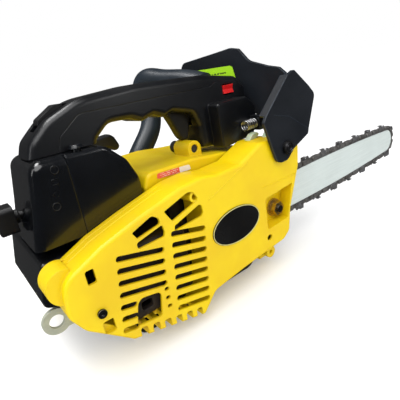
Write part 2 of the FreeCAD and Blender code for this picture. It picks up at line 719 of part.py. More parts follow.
def cutter(half, y_low, side):
    """Side link with a depth gauge and a tooth whose top plate reaches over the drive links."""
    thick = D.link_thick
    corners = [(-half - 2.9, -3.1, 1), (-half - 1.6, -6.0, 0.8), (-half + 1.0, -5.8, 0.8), (-half + 2.4, -3.4, 1),
               (-0.2, -3.4, 1), (0.6, -6.6, 0), (half + 2.6, -6.0, 0), (half + 2.9, -3.1, 1),
               (half + 2.9, 2.9, 2.0), (-half - 2.9, 2.9, 2.0)]
    body = plate(corners, y_low, thick, (-half, half))
    reach = 2.0
    low = y_low if side == 0 else y_low - reach
    top = Part.makeBox(half + 1.9, thick + reach, 1.1, Vector(0.7, low, -6.9))
    return body.fuse(top).removeSplitter()


TENSION_DROP = 9.5     # tensioner peg below the bar's centre line


def guide_bar():
    """Two side plates over a smaller core, so that the whole edge is grooved, with a stud slot."""
    side = (D.bar_thick - D.bar_groove) / 2
    piece = Piece("guide_bar")
    start = D.cover_rim - D.bar_thick
    piece.pad("XZ", "dims.cover_rim - dims.bar_thick", 1, "(dims.bar_thick - dims.bar_groove) / 2",
              bar_outline(0.0))
    piece.pad("XZ", start + side, 1, "dims.bar_groove", bar_outline(6.2))
    piece.pad("XZ", start + side + D.bar_groove, 1, "(dims.bar_thick - dims.bar_groove) / 2",
              bar_outline(0.0))
    z = D.axis_z
    stud_slot = slot(D.stud_x - 16, z, D.stud_x + 6, z, 2 * D.stud_r + 0.5)
    piece.cut("XZ", start - 1, 1, D.bar_thick + 2, stud_slot, Circle(D.stud_x - 20, z + TENSION_DROP, 2.3),
              Circle(D.stud_x - 20, z - TENSION_DROP, 2.3))
    node(piece.body, "guide_bar")


def bar_fastening():
    """Flanged nut in the cover's well, and the chain tensioner."""
    z = D.axis_z
    nut = Piece("bar_nut")
    hexagon = [(D.stud_x + 7.5 * math.cos(math.radians(60 * i)), z + 7.5 * math.sin(math.radians(60 * i)))
               for i in range(6)]
    nut.pad("XZ", -62.0, -1, 2.0, Circle(D.stud_x, z, 9.5))
    nut.pad("XZ", -62.0, -1, 8.5, hexagon)
    nut.cut("XZ", -61.0, -1, 12.0, Circle(D.stud_x, z, "dims.stud_r"))
    node(nut.body, "bar_nut")
    low = z - TENSION_DROP
    block = box("tension_block_body", 9.0, 6.0, 9.0, (D.stud_x - 24.5, -41.6, low - 4.5))
    peg = cylinder("tension_peg", 2.3, 8.0, (D.stud_x - 20, -47.8, low))
    hole = cylinder("tension_block_hole", "2.0 + dims.running_gap", 20.0, (D.stud_x - 30, -38.6, low), "X")
    node(cut("tension_block_cut", fuse("tension_block_solid", block, peg), hole), "tension_block")
    screw = cylinder("tension_screw_shank", 2.0, 42.0, (D.stud_x - 26, -38.6, low), "X")
    head = cylinder("tension_screw_head", 3.6, 4.0, (D.stud_x + 16, -38.6, low), "X")
    node(fuse("tension_screw_solid", screw, head), "tension_screw")


# ---------------------------------------------------------------- casings

HOUSE = [(-88, D.house_top, 0), (-88, 36, 8), (-58, 0, 10), (80, 0, 14), (126, 34, 12), (134, D.house_top, 0)]


def engine_housing():
    """Tub around the engine; its right wall carries the bar, and its nose is the oil tank."""
    x, z = CRANK
    piece = Piece("engine_housing")
    depth = D.house_left - D.house_right
    piece.pad("XZ", "dims.house_right", 1, "dims.house_left - dims.house_right", HOUSE)
    engine_bay = [(-88 + D.house_wall, D.house_top - D.house_wall, 0), (-84, 38, 6), (-56, D.house_wall, 8),
                  (72, D.house_wall, 6), (78, 40, 6), (78, D.house_top - D.house_wall, 4)]
    piece.cut("XZ", D.house_left + 1, -1, depth - D.house_wall + 1, engine_bay)
    muffler_bay = [(-84, 108, 0), (-84, 40, 6), (-57, 6, 8), (-9, 6, 4), (-9, 108, 0)]
    piece.cut("XZ", D.house_right - 1, 1, D.house_wall + 2, muffler_bay)
    piece.cut("XZ", D.house_right - 1, 1, D.house_wall + 2, Circle(x, z, 22.0))
    piece.cut("XZ", D.house_right - 1, 1, 9.0, rectangle(D.stud_x - 29, z - 14.6, D.stud_x + 21, z - 4.4, 1.5))
    tank = [(84, 106, 4), (84, 10, 4), (122, 38, 4), (128, 106, 4)]
    piece.cut("XZ", -32.0, 1, 84.0, tank)
    piece.cut("XZ", D.house_left + 1, -1, 12.0, Circle(110, 62, "dims.cap_r - 3.0"))
    piece.pad("XZ", "dims.house_right", -1, "dims.house_right - dims.cover_rim",
              rectangle(D.stud_x - 16, z - 4.3, D.stud_x + 26, z + 15, 4))
    piece.cut("XZ", D.cover_rim - 1, 1, 16.0, Circle(D.stud_x, z, "dims.stud_r"))
    piece.cut("XY", D.house_top + 1, -1, 8.0, rectangle(-78, -30, -12, 26, 6))
    node(piece.body, "engine_housing")


def cover_outline():
    """Side view of the clutch cover: blunt rear, comb edge below, raised brow over the clutch."""
    return [(-116, 99, 16), (-119.5, 74, 14), (-111, 58, 16), (-80, 29, 4), (-12, 10, 3), (4, 26, 10),
            (41, 30, 30), (103, 34.2, 10), (113, 41, 8), (117.5, 66, 20), (134.5, 107, 12), (136.5, 131, 8),
            (117, 140.5, 8), (103, 143.5, 5), (81, 143.5, 8), (52, 131.5, 14), (26, 130.5, 12), (8, 133.5, 14),
            (-14, 132.0, 40), (-34, 127.0, 40), (-59, 120.5, 40), (-86, 112.5, 30)]


def slot_rows():
    """Cooling slots: a long column, a short stack beside the exhaust window and a second column."""
    slope = -0.25
    slots = []
    for i in range(8):
        z = 94.0 - i * D.slot_pitch + 4.0
        slots.append(slot(-28.5 - 1.2 * i * 0.9, z, 0.6 - 1.2 * i * 0.9, z + slope * 29, D.slot_w))
    for i in range(4):
        z = 98.5 - i * D.slot_pitch
        slots.append(slot(-76.0 - 1.4 * i, z, -41.5 - 1.2 * i, z + slope * 35, D.slot_w))
    for i in range(3):
        z = 60.5 - i * D.slot_pitch
        slots.append(slot(-82.0 - 1.3 * i, z, -73.5 - 1.3 * i, z + slope * 8.5, D.slot_w))
    return slots


def upper_windows():
    """Four fan-shaped openings above the two columns."""
    return [
        [(-33.0, 118.5, 1), (-27.0, 108.0, 1), (1.5, 116.5, 3), (-3.5, 124.5, 4), (-9, 126.0, 4)],
        [(-26, 104, 2), (-27, 99.5, 2), (1.5, 101.5, 2), (3.5, 104, 2), (2.5, 113, 3)],
        [(-62, 113.0, 1), (-58.5, 106.8, 1), (-37.5, 110.5, 3), (-38.5, 115.5, 3), (-44, 119.5, 4)],
        [(-60.5, 104, 2.2), (-60, 98.8, 2.2), (-36.5, 99.2, 2), (-35.5, 103, 2), (-36.5, 109.5, 2)],
    ]


def clutch_cover():
    """Right-hand cover over clutch and silencer, with grille, exhaust window, comb and nut well."""
    x, z = CRANK
    outline = cover_outline()
    piece = Piece("clutch_cover_form")
    piece.pad("XZ", "dims.cover_out", 1, "dims.cover_rim - dims.cover_out", outline)
    piece.round(3.0, flat_on("y", D.cover_out))
    wall = D.cover_wall
    rear_bay = [(-108, 92, 8), (-112, 74, 8), (-106, 62, 8), (-78, 36, 4), (-12, 15, 3), (-1, 28, 5),
                (6, 60, 4), (6, 129.8, 3), (-13, 128.8, 20), (-33, 123.8, 20), (-59, 117.0, 20), (-86, 107.5, 20)]
    front_bay = [(9, 33, 6), (41, 33.5, 20), (101, 38.0, 10), (110, 45, 8), (114, 67, 16), (131, 108, 10),
                 (133, 128.5, 6), (116, 136.8, 6), (102, 140.0, 5), (82, 140.0, 8), (53, 128.2, 12),
                 (26, 127.2, 10), (9, 129.8, 4)]
    piece.cut("XZ", D.cover_rim + 1, -1, D.cover_rim - D.cover_out - wall + 1, rear_bay, front_bay)
    well = [(D.stud_x - 28, z - 16, 4), (D.stud_x + 9, z - 16, 3), (D.stud_x + 13.3, z - 0.5, 3),
            (D.stud_x + 23.2, z + 24.5, 2), (D.stud_x + 21, z + 27.5, 2), (D.stud_x - 28, z + 27.5, 4)]
    piece.pad("XZ", D.cover_out + 1, 1, 15.4, well)
    piece.pad("XZ", -61.0, 1, "dims.cover_rim - dims.bar_thick + 61.0", Circle(D.stud_x, z, 13.0))
    inside = [(D.stud_x - 25, z - 13, 3), (D.stud_x + 7, z - 11.5, 1), (D.stud_x + 11, z + 2, 2),
              (D.stud_x + 17.5, z + 23.5, 1), (D.stud_x - 25, z + 20, 3)]
    piece.cut("XZ", D.cover_out - 1, 1, 14.6, inside)
    piece.cut("XZ", D.cover_out, 1, 40.0, Circle(D.stud_x, z, "dims.stud_r + 0.3"))
    piece.cut("XZ", D.cover_out - 1, 1, 8.0, Circle(D.guard_x, D.guard_z, "dims.pivot_r"))
    window = [(-75.5, 39, 2), (-53.5, 35, 2), (-49.5, 56.5, 5), (-70, 61, 6)]
    openings = slot_rows() + upper_windows() + [window]
    piece.cut("XZ", D.cover_out - 1, 1, wall + 3, *openings)
    clips = [rectangle(-101, 90, -94.5, 101, 1.5), rectangle(-99.5, 47, -91, 58, 1.5),
             slot(-45.5, 48, -44.5, 47.7, 3.4), slot(-45.5, 40, -44.5, 39.7, 3.4),
             slot(-45.0, 56, -44, 55.7, 3.4)]
    piece.cut("XZ", D.cover_out - 1, 1, wall + 3, *clips)
    gaps = []
    for i in range(6):
        at = -74.0 + 10.6 * i
        low = 29 - (at + 80) * 19 / 68
        gaps.append([(at, low - 8, 0), (at + 6.2, low - 8, 0), (at + 6.2, low + 7.5, 2), (at, low + 9.0, 2)])
    piece.cut("XZ", D.cover_out - 1, 1, 26.0, *gaps)
    piece.cut("XZ", D.cover_out - 1, 1, 12.0, slot(80, 46.5, 81, 46.5, 6.0))
    bar_way = rectangle(90, 38.6, 150, 99, 2)
    piece.cut("XZ", D.cover_rim + 1, -1, 6.4, bar_way)
    tube = ring("cover_tube", 5.0, 2.8, 14.0, (-1.5, -74.0, 119.5))
    boss = cut("cover_boss_cut", cylinder("cover_boss", 13.0, 20.0, (-113.0, -68.6, 93.0)),
               cylinder("cover_boss_bore", 9.0, 17.0, (-113.0, -65.0, 93.0)))
    boss_gap = box("cover_boss_gap", 60.0, 40.0, 60.0, (-108.0, -90, 63.0))
    shave = box("cover_shave", 220.0, 12.0, 60.0, (-133.0, D.cover_out - 12.0, 68.0),
                Rotation(Vector(0, 1, 0), -21).multiply(Rotation(Vector(1, 0, 0), 10)))
    whole = fuse("cover_whole", piece.body, tube, cut("cover_boss_open", boss, boss_gap))
    node(cut("cover_shaved", whole, shave), "clutch_cover")


def cover_badge():
    """Blank oval plate on the clutch cover."""
    plate_body = doc.addObject("Part::Ellipse", "badge_outline")
    plate_body.MajorRadius = 29.5
    plate_body.MinorRadius = 17.0
    plate_body.Placement = Placement(Vector(38.5, D.cover_out, 78.5), Rotation(Vector(1, 0, 0), 90))
    solid = doc.addObject("Part::Extrusion", "badge_plate_body")
    solid.Base = plate_body
    solid.DirMode = "Custom"
    solid.Dir = Vector(0, -1, 0)
    solid.LengthFwd = 0.8
    solid.Solid = True
    node(solid, "cover_badge")


def chain_catcher():
    """Peg below the bar that catches a thrown chain, with its wear plate."""
    peg = cylinder("catcher_peg", 6.5, 22.0, (92, -64.4, 21))
    root = box("catcher_root", 12.0, 10.0, 12.0, (86, -52.4, 10))
    node(cut("catcher_cut", fuse("catcher_solid", peg, root),
             cylinder("catcher_bore", 2.2, 30.0, (92, -66, 21))), "chain_catcher")


def starter_cover():
    """Left-hand cover with a ring of air slots and the rope's exit."""
    x, z = CRANK
    outline = [(-119, 84, 16), (-114, 50, 14), (-92, 30, 16), (-30, 8, 20), (50, 8, 20), (92, 34, 14),
               (94, 100, 12), (78, 117, 10), (-40, 119, 40), (-100, 106, 20)]
    piece = Piece("starter_cover")
    inner = D.house_left + D.seam
    piece.pad("XZ", inner, 1, f"dims.starter_out - {inner}", outline)
    piece.round(9.0, flat_on("y", D.starter_out))
    piece.cut("XZ", inner - 1, 1, D.starter_out - inner - D.shell_wall + 1, inset(outline, D.shell_wall + 1))
    slots = []
    for i in range(12):
        angle = 2 * math.pi * i / 12
        near = Vector(math.cos(angle), math.sin(angle), 0) * 20
        far = Vector(math.cos(angle), math.sin(angle), 0) * 34
        slots.append(slot(x + near.x, z + near.y, x + far.x, z + far.y, 4.0))
    piece.cut("XZ", D.starter_out + 1, -1, 5.0, *slots)
    piece.pad("XZ", D.starter_out - 1, -1, 24.0, Circle(x, z, 5.0))
    piece.cut("XY", 130.0, -1, 30.0, Circle(ROPE_X, ROPE_Y, 3.0))
    node(piece.body, "starter_cover")


ROPE_X = -8.0
ROPE_Y = 70.0


def starter():
    """Recoil starter: reel on the cover's post, coil spring, rope and grip."""
    x, z = CRANK
    reel = Piece("starter_reel")
    reel.pad("XZ", 66.0, 1, 2.0, Circle(x, z, 27.0))
    reel.pad("XZ", 68.0, 1, 4.0, Circle(x, z, 20.0))
    reel.pad("XZ", 72.0, 1, 2.0, Circle(x, z, 27.0))
    reel.cut("XZ", 64.0, 1, 12.0, Circle(x, z, "5.0 + dims.running_gap"))
    node(reel.body, "starter_reel")
    coils = [ring(f"spring_coil_{i}", 9.0 + 2.4 * i, 7.6 + 2.4 * i, 5.0, (x, 76.0, z)) for i in range(7)]
    bridge = box("spring_bridge", 17.0, 5.0, 1.2, (x + 7.8, 76.0, z))
    node(fuse("spring_solid", bridge, *coils), "recoil_spring")
    rope = cylinder("rope_run", 1.5, 62.0, (ROPE_X, ROPE_Y, 90.0), "Z")
    node(rope, "starter_rope")
    grip = Piece("starter_grip")
    grip.pad("XZ", ROPE_Y - 6, 1, 12.0, [(-26, 164, 4), (-26, 154, 4), (-3, 151.5, 3), (3, 146, 5),
                                         (10, 150, 5), (5, 162, 6), (0, 166, 6)])
    grip.round(3.0, lambda edge: abs(abs(middle_of(edge).y - ROPE_Y) - 6) < 0.01)
    grip.cut("XY", 140.0, 1, 18.0, Circle(ROPE_X, ROPE_Y, 1.6))
    node(grip.body, "starter_grip")


BOSS_X, BOSS_Y, BOSS_Z = 39.0, -30.0, 146.0


def top_shroud():
    """Yellow top casting between clutch cover and starter, with a cross boss for the handle mount."""
    outline = [(-27, 112.3, 0), (-27, 130, 4), (-22, 141, 8), (26, 141, 10), (56, 137.5, 20), (98, 134, 14),
               (125, 122, 14), (133, 112.3, 0)]
    piece = Piece("top_shroud")
    right = D.house_right
    piece.pad("XZ", right, 1, D.house_left - right, outline)
    piece.round(2.5, lambda edge: flat_on("y", right)(edge) and middle_of(edge).z > 113)
    inner = [(-24, 111.3, 0), (-24, 129, 3), (-20, 138, 6), (26, 138, 8), (55, 134.5, 18), (97, 131, 12),
             (122, 120, 12), (129, 111.3, 0)]
    piece.cut("XZ", right + 3, 1, D.house_left - right - 6, inner)
    piece.pad("XZ", BOSS_Y, 1, 24.0, Circle(BOSS_X, BOSS_Z, 7.5))
    piece.pad("XZ", BOSS_Y, 1, 24.0, rectangle(BOSS_X - 7.5, 137, BOSS_X + 7.5, BOSS_Z))
    piece.cut("XZ", BOSS_Y - 1, 1, 26.0, Circle(BOSS_X, BOSS_Z, 4.0))
    piece.pad("XZ", D.house_left, -1, 3.0, Circle(D.guard_x, D.guard_z - 1, 9.0))
    piece.cut("XZ", D.house_left + 1, -1, 8.0, Circle(D.guard_x, D.guard_z, "dims.pivot_r"))
    node(piece.body, "top_shroud")
    buffer = cylinder("mount_buffer_body", 6.0, 9.0, (BOSS_X, BOSS_Y + 24, BOSS_Z))
    stem = cylinder("mount_buffer_stem", 3.96, 23.0, (BOSS_X, BOSS_Y + 1.5, BOSS_Z))
    node(fuse("mount_buffer_solid", buffer, stem), "mount_buffer")


# ---------------------------------------------------------------- rear body

REAR_RIGHT = -44.0
BOOT_X = -42.0
PRIMER_X = -71.0
PRIMER_Y = -36.8


def fuel_tank():
    """Rear tank under the filter cover, open at its filler on the left shoulder."""
    outline = [(-120, 104, 3), (-127.5, 71, 5), (-113, 64, 4), (-91, 58, 3), (-88.6, 104, 0)]
    piece = Piece("fuel_tank")
    piece.pad("XZ", REAR_RIGHT, 1, 98.0, outline)
    piece.round(3.0, lambda edge: abs(middle_of(edge).y - REAR_RIGHT) < 0.01 and middle_of(edge).x < -92)
    piece.cut("XZ", REAR_RIGHT + 2.5, 1, 93.0, inset(outline, 2.5))
    piece.pad("XY", 103.5, 1, 6.0, Circle(-105, 38, 12.0))
    piece.cut("XY", 111.0, -1, 14.0, Circle(-105, 38, "dims.cap_r - 3.0"))
    node(piece.body, "fuel_tank")


def tank_caps():
    """Fuel cap on the rear tank and oil cap on the housing, each with a cross bar to turn it."""
    for name, seat, axis, out in CAP_SEATS:
        base = Vector(*seat)
        plug = cylinder(f"{name}_cap_plug", "dims.cap_r - 3.2", 7.0, tuple(base - out * 5.5), axis)
        head = cylinder(f"{name}_cap_head", "dims.cap_r", 6.0, tuple(base + out * 1.25), axis)
        grip = box(f"{name}_cap_bar", 22.0, 5.0 if axis == "Z" else 4.0, 4.0 if axis == "Z" else 5.0,
                   tuple(base + (Vector(-11, -2.5, 7.2) if axis == "Z" else Vector(-11, 7.2, -2.5))))
        node(fuse(f"{name}_cap_solid", plug, head, grip), f"{name}_cap")


def intake_housing():
    """Black box under the handle's rear leg that holds the carburettor; its rear is open."""
    outline = [(-82, 112.3, 0), (-82, 173.1, 0), (-52, 172.5, 8), (-37, 158, 12), (-29.5, 141, 14),
               (-29.5, 112.3, 0)]
    inner = [(-83, 115.3, 0), (-83, 170, 0), (-53, 169.5, 6), (-39.5, 156.5, 10), (-32.5, 140, 12),
             (-32.5, 115.3, 0)]
    piece = Piece("intake_housing")
    piece.pad("XZ", REAR_RIGHT, 1, 64.0, outline)
    piece.round(3.0, lambda edge: flat_on("y", REAR_RIGHT)(edge) and middle_of(edge).x > -81.9
                and middle_of(edge).z > 113)
    piece.cut("XZ", REAR_RIGHT + 3, 1, 58.0, inner)
    piece.cut("XY", 111.0, 1, 8.0, Circle(BOOT_X, 0, 10.5))
    piece.cut("XY", 165.0, 1, 12.0, Circle(PRIMER_X, PRIMER_Y, 3.2))
    piece.cut("XZ", 16.0, 1, 6.0, Circle(-70.0, 141.0, 2.05))
    node(piece.body, "intake_housing")


def air_filter_cover():
    """Rear cover: leaning back plate with rounded corners, hollow towards the carburettor."""
    outline = [(-82.4, 112.3, 0), (-82.4, 173.1, 0), (-106, 173.1, 10), (-113, 140, 30), (-119.5, 112.3, 0)]
    piece = Piece("air_filter_cover")
    piece.pad("XZ", REAR_RIGHT, 1, 64.0, outline)
    piece.round(7.0, lambda edge: abs(middle_of(edge).y - REAR_RIGHT) < 0.01 and middle_of(edge).x < -82.5
                and middle_of(edge).z > 112.4)
    inner = [(-81.4, 115.3, 0), (-81.4, 170.1, 0), (-103, 170.1, 7), (-109.5, 140, 26), (-115.5, 115.3, 0)]
    piece.cut("XZ", REAR_RIGHT + 3, 1, 58.0, inner)
    piece.cut("YZ", -125.0, 1, 20.0, Circle(KNOB_Y, KNOB_Z, 3.6))
    node(piece.body, "air_filter_cover")
    frame_box = box("filter_body", 9.0, 52.0, 50.0, (-98.5, -38.0, 117.0))
    passage = box("filter_recess", 5.0, 44.0, 42.0, (-100.0, -34.0, 121.0))
    clear = cylinder("filter_screw_way", 5.0, 30.0, (-110.0, KNOB_Y, KNOB_Z), "X")
    node(cut("filter_cut", frame_box, passage, clear), "air_filter")


KNOB_Y = 0.0
KNOB_Z = 131.0


def cover_knob():
    """Square hand knob on a short screw that holds the filter cover."""
    head = Piece("knob_head")
    head.pad("YZ", -133.0, 1, 13.0, rectangle(KNOB_Y - 10.5, KNOB_Z - 10.5, KNOB_Y + 10.5, KNOB_Z + 10.5, 4))
    head.round(1.6, flat_on("x", -133.0))
    neck = cylinder("knob_neck", 5.5, 3.6, (-120.5, KNOB_Y, KNOB_Z), "X")
    screw = cylinder("knob_screw", 3.5, 36.0, (-116, KNOB_Y, KNOB_Z), "X")
    node(fuse("knob_solid", head.body, neck, screw), "cover_knob")


def carburettor():
    """Carburettor block between the intake boot and the air filter, with its throttle shaft."""
    block = box("carb_block", 30.0, 24.0, 24.0, (-66.5, -13.0, 122.0))
    bowl = cylinder("carb_pump_cover", 10.0, 5.0, (-51.5, 11.0, 134.0))
    throat = cylinder("carb_throat", 8.0, 22.0, (-88.0, KNOB_Y, KNOB_Z), "X")
    lever = box("carb_throttle_lever", 14.0, 2.0, 5.0, (-62.0, -16.2, 136.0))
    shaft = cylinder("carb_throttle_shaft", 2.0, 5.0, (-53.0, -17.5, 138.5))
    socket = cylinder("carb_knob_socket", "3.5 + dims.running_gap", 9.0, (-88.1, KNOB_Y, KNOB_Z), "X")
    node(cut("carb_cut", fuse("carb_solid", block, bowl, throat, lever, shaft), socket), "carburettor")
    boot_low = ring("boot", 8.5, 6.0, 19.5, (BOOT_X, 0, 102.5), "Z")
    node(boot_low, "intake_boot")


def choke_and_primer():
    """Choke lever on the intake housing's left side and the primer button on its top."""
    lever = box("choke_arm", 5.0, 3.0, 20.0, (-72.5, 22.0, 140.0))
    hub = cylinder("choke_hub", 5.0, 3.0, (-70.0, 22.0, 141.0))
    pin = cylinder("choke_pin", 2.0, 6.0, (-70.0, 17.0, 141.0))
    tip = cylinder("choke_tip", 3.5, 9.0, (-70.0, 22.0, 160.0))
    node(fuse("choke_solid", lever, hub, pin, tip), "choke_lever")
    dome = cone("primer_dome", 5.4, 4.2, 2.4, (PRIMER_X, PRIMER_Y, 175.4), "Z")
    stem = cylinder("primer_stem", 3.16, 7.0, (PRIMER_X, PRIMER_Y, 168.6), "Z")
    node(fuse("primer_solid", dome, stem), "primer_button")


EYE_X, EYE_Y, EYE_Z = -122.0, -38.0, 55.3


def lanyard_eye():
    """Flat steel eye that reaches back below the rear tank from the housing."""
    piece = Piece("lanyard_eye")
    arm = [(-119, 47, 0), (-104, 46.5, 0), (-88, 47, 0), (-88, 56.5, 0), (-101, 58, 4), (-113, 62.5, 0)]
    piece.pad("XZ", EYE_Y, -1, "dims.eye_thick", Circle(EYE_X, EYE_Z, "dims.eye_r + 5.0"))
    piece.pad("XZ", EYE_Y, -1, "dims.eye_thick", arm)
    piece.cut("XZ", EYE_Y + 1, -1, 6.0, Circle(EYE_X, EYE_Z, "dims.eye_r"))
    node(piece.body, "lanyard_eye")


# ---------------------------------------------------------------- handles and guard

BLOCK_RIGHT = -44.0    # outer face of the handle's front block


def handle_shell():
    """Outer form of the top handle: rear leg, grip with finger waves, wide front block and foot."""
    outline = [(-103, 173.4, 0), (-99, 184, 16), (-84, 197, 26), (-58, 208, 50), (-10, 211.5, 90),
               (62, 209.5, 90), (104, 203.5, 7), (115.5, 194, 8), (116, 168, 14), (98, 148, 14),
               (92, 140.4, 3), (51, 143.6, 3), (50.5, 165, 5), (46, 177, 8), (24, 183, 9), (14, 180, 6),
               (4, 184.5, 6), (-8, 181, 6), (-18, 185.5, 8), (-38, 186, 12), (-50, 176, 12), (-51, 173.4, 0)]
    piece = Piece("handle_form")
    half = D.handle_w / 2
    piece.pad("XZ", f"dims.handle_mid - dims.handle_w / 2", 1, "dims.handle_w", outline)

    def upper_edge(edge):
        at = middle_of(edge)
        on_side = flat_on("y", D.handle_mid - half)(edge) or flat_on("y", D.handle_mid + half)(edge)
        above = at.z > 188 or (at.x > 95 and at.z > 150) or (at.x < -90 and at.z > 174)
        return on_side and above

    piece.round(5.5, upper_edge)
    return piece.body


def top_handle():
    """The handle moulding as two shells that meet on a line along its side, both hollow."""
    form = handle_shell()
    low, wide = D.handle_mid - D.handle_w / 2, D.handle_w
    core = Piece("handle_core")
    hollow = [(-92, 177, 2), (-84, 189, 14), (-56, 203, 30), (-10, 206, 40), (60, 204, 40), (98, 198, 5),
              (107, 188, 6), (110, 168, 6), (90, 148, 4), (57, 150, 4), (57, 168, 4), (54, 184, 5),
              (20, 190.5, 8), (-36, 192, 8), (-55, 182, 8), (-57, 177, 2)]
    core.pad("XZ", low + 4, 1, wide - 8, hollow)
    parting = Piece("handle_parting")
    parting.pad("XZ", low - 5, 1, wide + 10, [(-120, 160, 0), (-85, 160, 0), (-78, 184, 6), (-60, 197.4, 10),
                                              (68, 198, 4), (76, 201.5, 4), (104, 200, 4), (130, 186, 0),
                                              (130, 230, 0), (-120, 230, 0)])
    shell = cut("handle_hollow", form, core.body)
    lockout_slot = box("lockout_slot", 33.0, 14.6, 26.0, (-89.0, D.handle_mid - 7.3, 186.0),
                       Rotation(Vector(0, 1, 0), -30))
    upper = common("handle_top_half", shell, parting.body)
    node(cut("handle_upper_cut", upper, lockout_slot), "handle_upper")
    trigger_slot = box("trigger_slot", 42.0, D.trigger_w + 1.0, 26.0,
                       (13.5, D.handle_mid - D.trigger_w / 2 - 0.5, 166.0))
    switch_hole = box("switch_hole", 13.6, 14.0, 10.0, (83.7, low - 1.0, 187.7))
    switch_seat = box("switch_seat", 17.0, 5.0, 12.0, (82.0, low + 1.0, 186.0))
    block = Piece("handle_block")
    block.pad("XZ", BLOCK_RIGHT, 1, low - BLOCK_RIGHT + 2.0, [(64, 140.6, 2), (62, 182.5, 3), (100, 183.5, 4),
                                                              (112, 174, 8), (112, 152, 8), (104, 144.2, 3)])
    block.round(1.5, flat_on("y", BLOCK_RIGHT))
    spring_seat = box("spring_seat", 8.4, 12.0, 14.0, (103.4, BLOCK_RIGHT - 11.0, 150.0))
    seated = fuse("handle_low_seated", cut("handle_low_half", shell, parting.body), switch_seat, block.body,
                  spring_seat)
    node(cut("handle_lower_cut", seated, trigger_slot, switch_hole), "handle_lower")


def trigger_parts():
    """Throttle trigger on a cross pin, the lock-out on top and the rod back to the carburettor."""
    half = D.trigger_w / 2
    piece = Piece("throttle_trigger")
    piece.pad("XZ", D.handle_mid - half, 1, "dims.trigger_w",
              [(21, 186, 3), (28, 172, 20), (34, 158, 6), (38, 153, 4), (43.5, 155, 4), (48, 170, 10),
               (52.5, 180, 5), (52.5, 190, 4), (45, 193, 4)])
    piece.round(2.0, lambda edge: abs(abs(middle_of(edge).y - D.handle_mid) - half) < 0.01)
    piece.cut("XZ", D.handle_mid - half - 1, 1, 14.0, Circle(47, 187, "1.5 + dims.running_gap"))
    node(piece.body, "throttle_trigger")
    lever = Piece("throttle_lockout")
    lever.pad("XZ", D.handle_mid - 6.5, 1, 13.0, [(-88, 192.5, 2), (-86, 198, 3), (-72, 206.5, 3),
                                                  (-66, 206.5, 2), (-66, 203, 1), (-80, 196, 2)])
    node(lever.body, "throttle_lockout")
    node(cylinder("throttle_rod_bar", 1.2, 104.0, (-58, D.handle_mid, 196.0), "X"), "throttle_rod")


def switch():
    """Ridged rocker of the ignition switch in the handle's right side."""
    low = D.handle_mid - D.handle_w / 2
    rocker = Piece("switch_rocker")
    rocker.pad("YZ", 84.0, 1, 13.0, [(low + 4.5, 188.6, 0), (low - 1.6, 188.8, 0), (low - 0.2, 192.7, 0.6),
                                     (low - 1.6, 196.6, 0), (low + 4.5, 196.8, 0)])
    node(rocker.body, "switch_rocker")


def front_handle():
    """Round tube that rises from the left casing, bends over and runs across to the top handle."""
    stops = [(26, 75, 119), (34, 76, 131), (62, 83, 160), (70, 92, 184), (69, 97, 202), (71, 90, 212),
             (78, 66, 211), (88, 34, 206), (96, 8.5, 199)]
    points = [Vector(*stop) for stop in stops]
    curve = Part.BSplineCurve()
    curve.interpolate(points)
    spine = Part.Wire(curve.toShape())
    tangent = curve.tangent(curve.FirstParameter)[0]
    circle = Part.Wire(Part.Circle(points[0], tangent, D.tube_r).toShape())
    tube = doc.addObject("Part::Feature", "front_tube")
    tube.Shape = spine.makePipeShell([circle], True, True)
    foot = cylinder("front_tube_foot", 14.6, 5.0, (25.5, 75, 119.4), "Z")
    below = box("front_tube_below", 80.0, 60.0, 60.0, (-20, 45, 59.4))
    above = box("front_tube_inner", 60.0, 60.0, 60.0, (70, D.handle_mid + D.handle_w / 2 + 0.3 - 60, 170))
    node(cut("front_tube_trimmed", fuse("front_tube_solid", tube, foot), below, above), "front_handle")


def hand_guard():
    """Guard: upright shield ahead of the handles and a swept right wing with a lip along its rear edge."""
    thick = D.guard_thick
    right = D.guard_right
    plan = Piece("guard_plan")
    left = 74.0
    shield = [(119, left, 0), (124, 10, 60), (122.5, -56, 30), (122.5, right + thick, 0),
              (119.5, right + thick, 0), (119.5, -56, 30), (121, 10, 60), (116, left, 0)]
    plan.pad("XY", 90.0, 1, 150.0, shield)
    front = Piece("guard_front")
    front.pad("YZ", 80.0, 1, 110.0, [(left + 1, 225, 10), (-8, 230.5, 5), (-20, 228, 5),
                                     (-33, 215, 16), (-56, 208, 8), (-70, 205, 4), (right + thick, 199.5, 0),
                                     (right + thick, 166, 0), (-50, 160, 4), (-36, 163, 10),
                                     (10, 168, 30), (left + 1, 170, 8)])
    wing = Piece("guard_wing")
    wing.pad("XZ", right, 1, "dims.guard_thick", [(86.2, 166.6, 0), (119.8, 197.6, 0), (129, 201, 4),
                                                  (151, 183.5, 6), (160.5, 174.5, 6), (148, 142.5, 2),
                                                  (147, 137.5, 4), (122, 128.0, 6), (112, 119.5, 9),
                                                  (97, 119, 9), (82, 160.5, 3)])
    lip = Piece("guard_lip")
    lip.pad("XZ", right, 1, 9.0, [(86.2, 166.6, 0), (119.8, 197.6, 0), (121.4, 195.8, 0), (87.8, 164.8, 0)])
    shape = fuse("guard_right_side", common("guard_upright", plan.body, front.body), wing.body, lip.body)
    left_arm = Piece("guard_left_arm")
    left_arm.pad("XZ", 63.0, 1, "dims.guard_thick", [(D.guard_x - 9, D.guard_z - 12, 8),
                                                     (D.guard_x + 11, D.guard_z - 12, 8),
                                                     (123, 172, 2), (123, 196, 6), (113, 196, 6), (113, 172, 6)])
    holes = [cylinder("guard_hole_right", "dims.pivot_r + 0.05", 8.0, (D.guard_x, right - 2, D.guard_z)),
             cylinder("guard_hole_left", "dims.pivot_r + 0.05", 8.0, (D.guard_x, 61.0, D.guard_z))]
    node(cut("guard_drilled", fuse("guard_whole", shape, left_arm.body), *holes), "hand_guard")


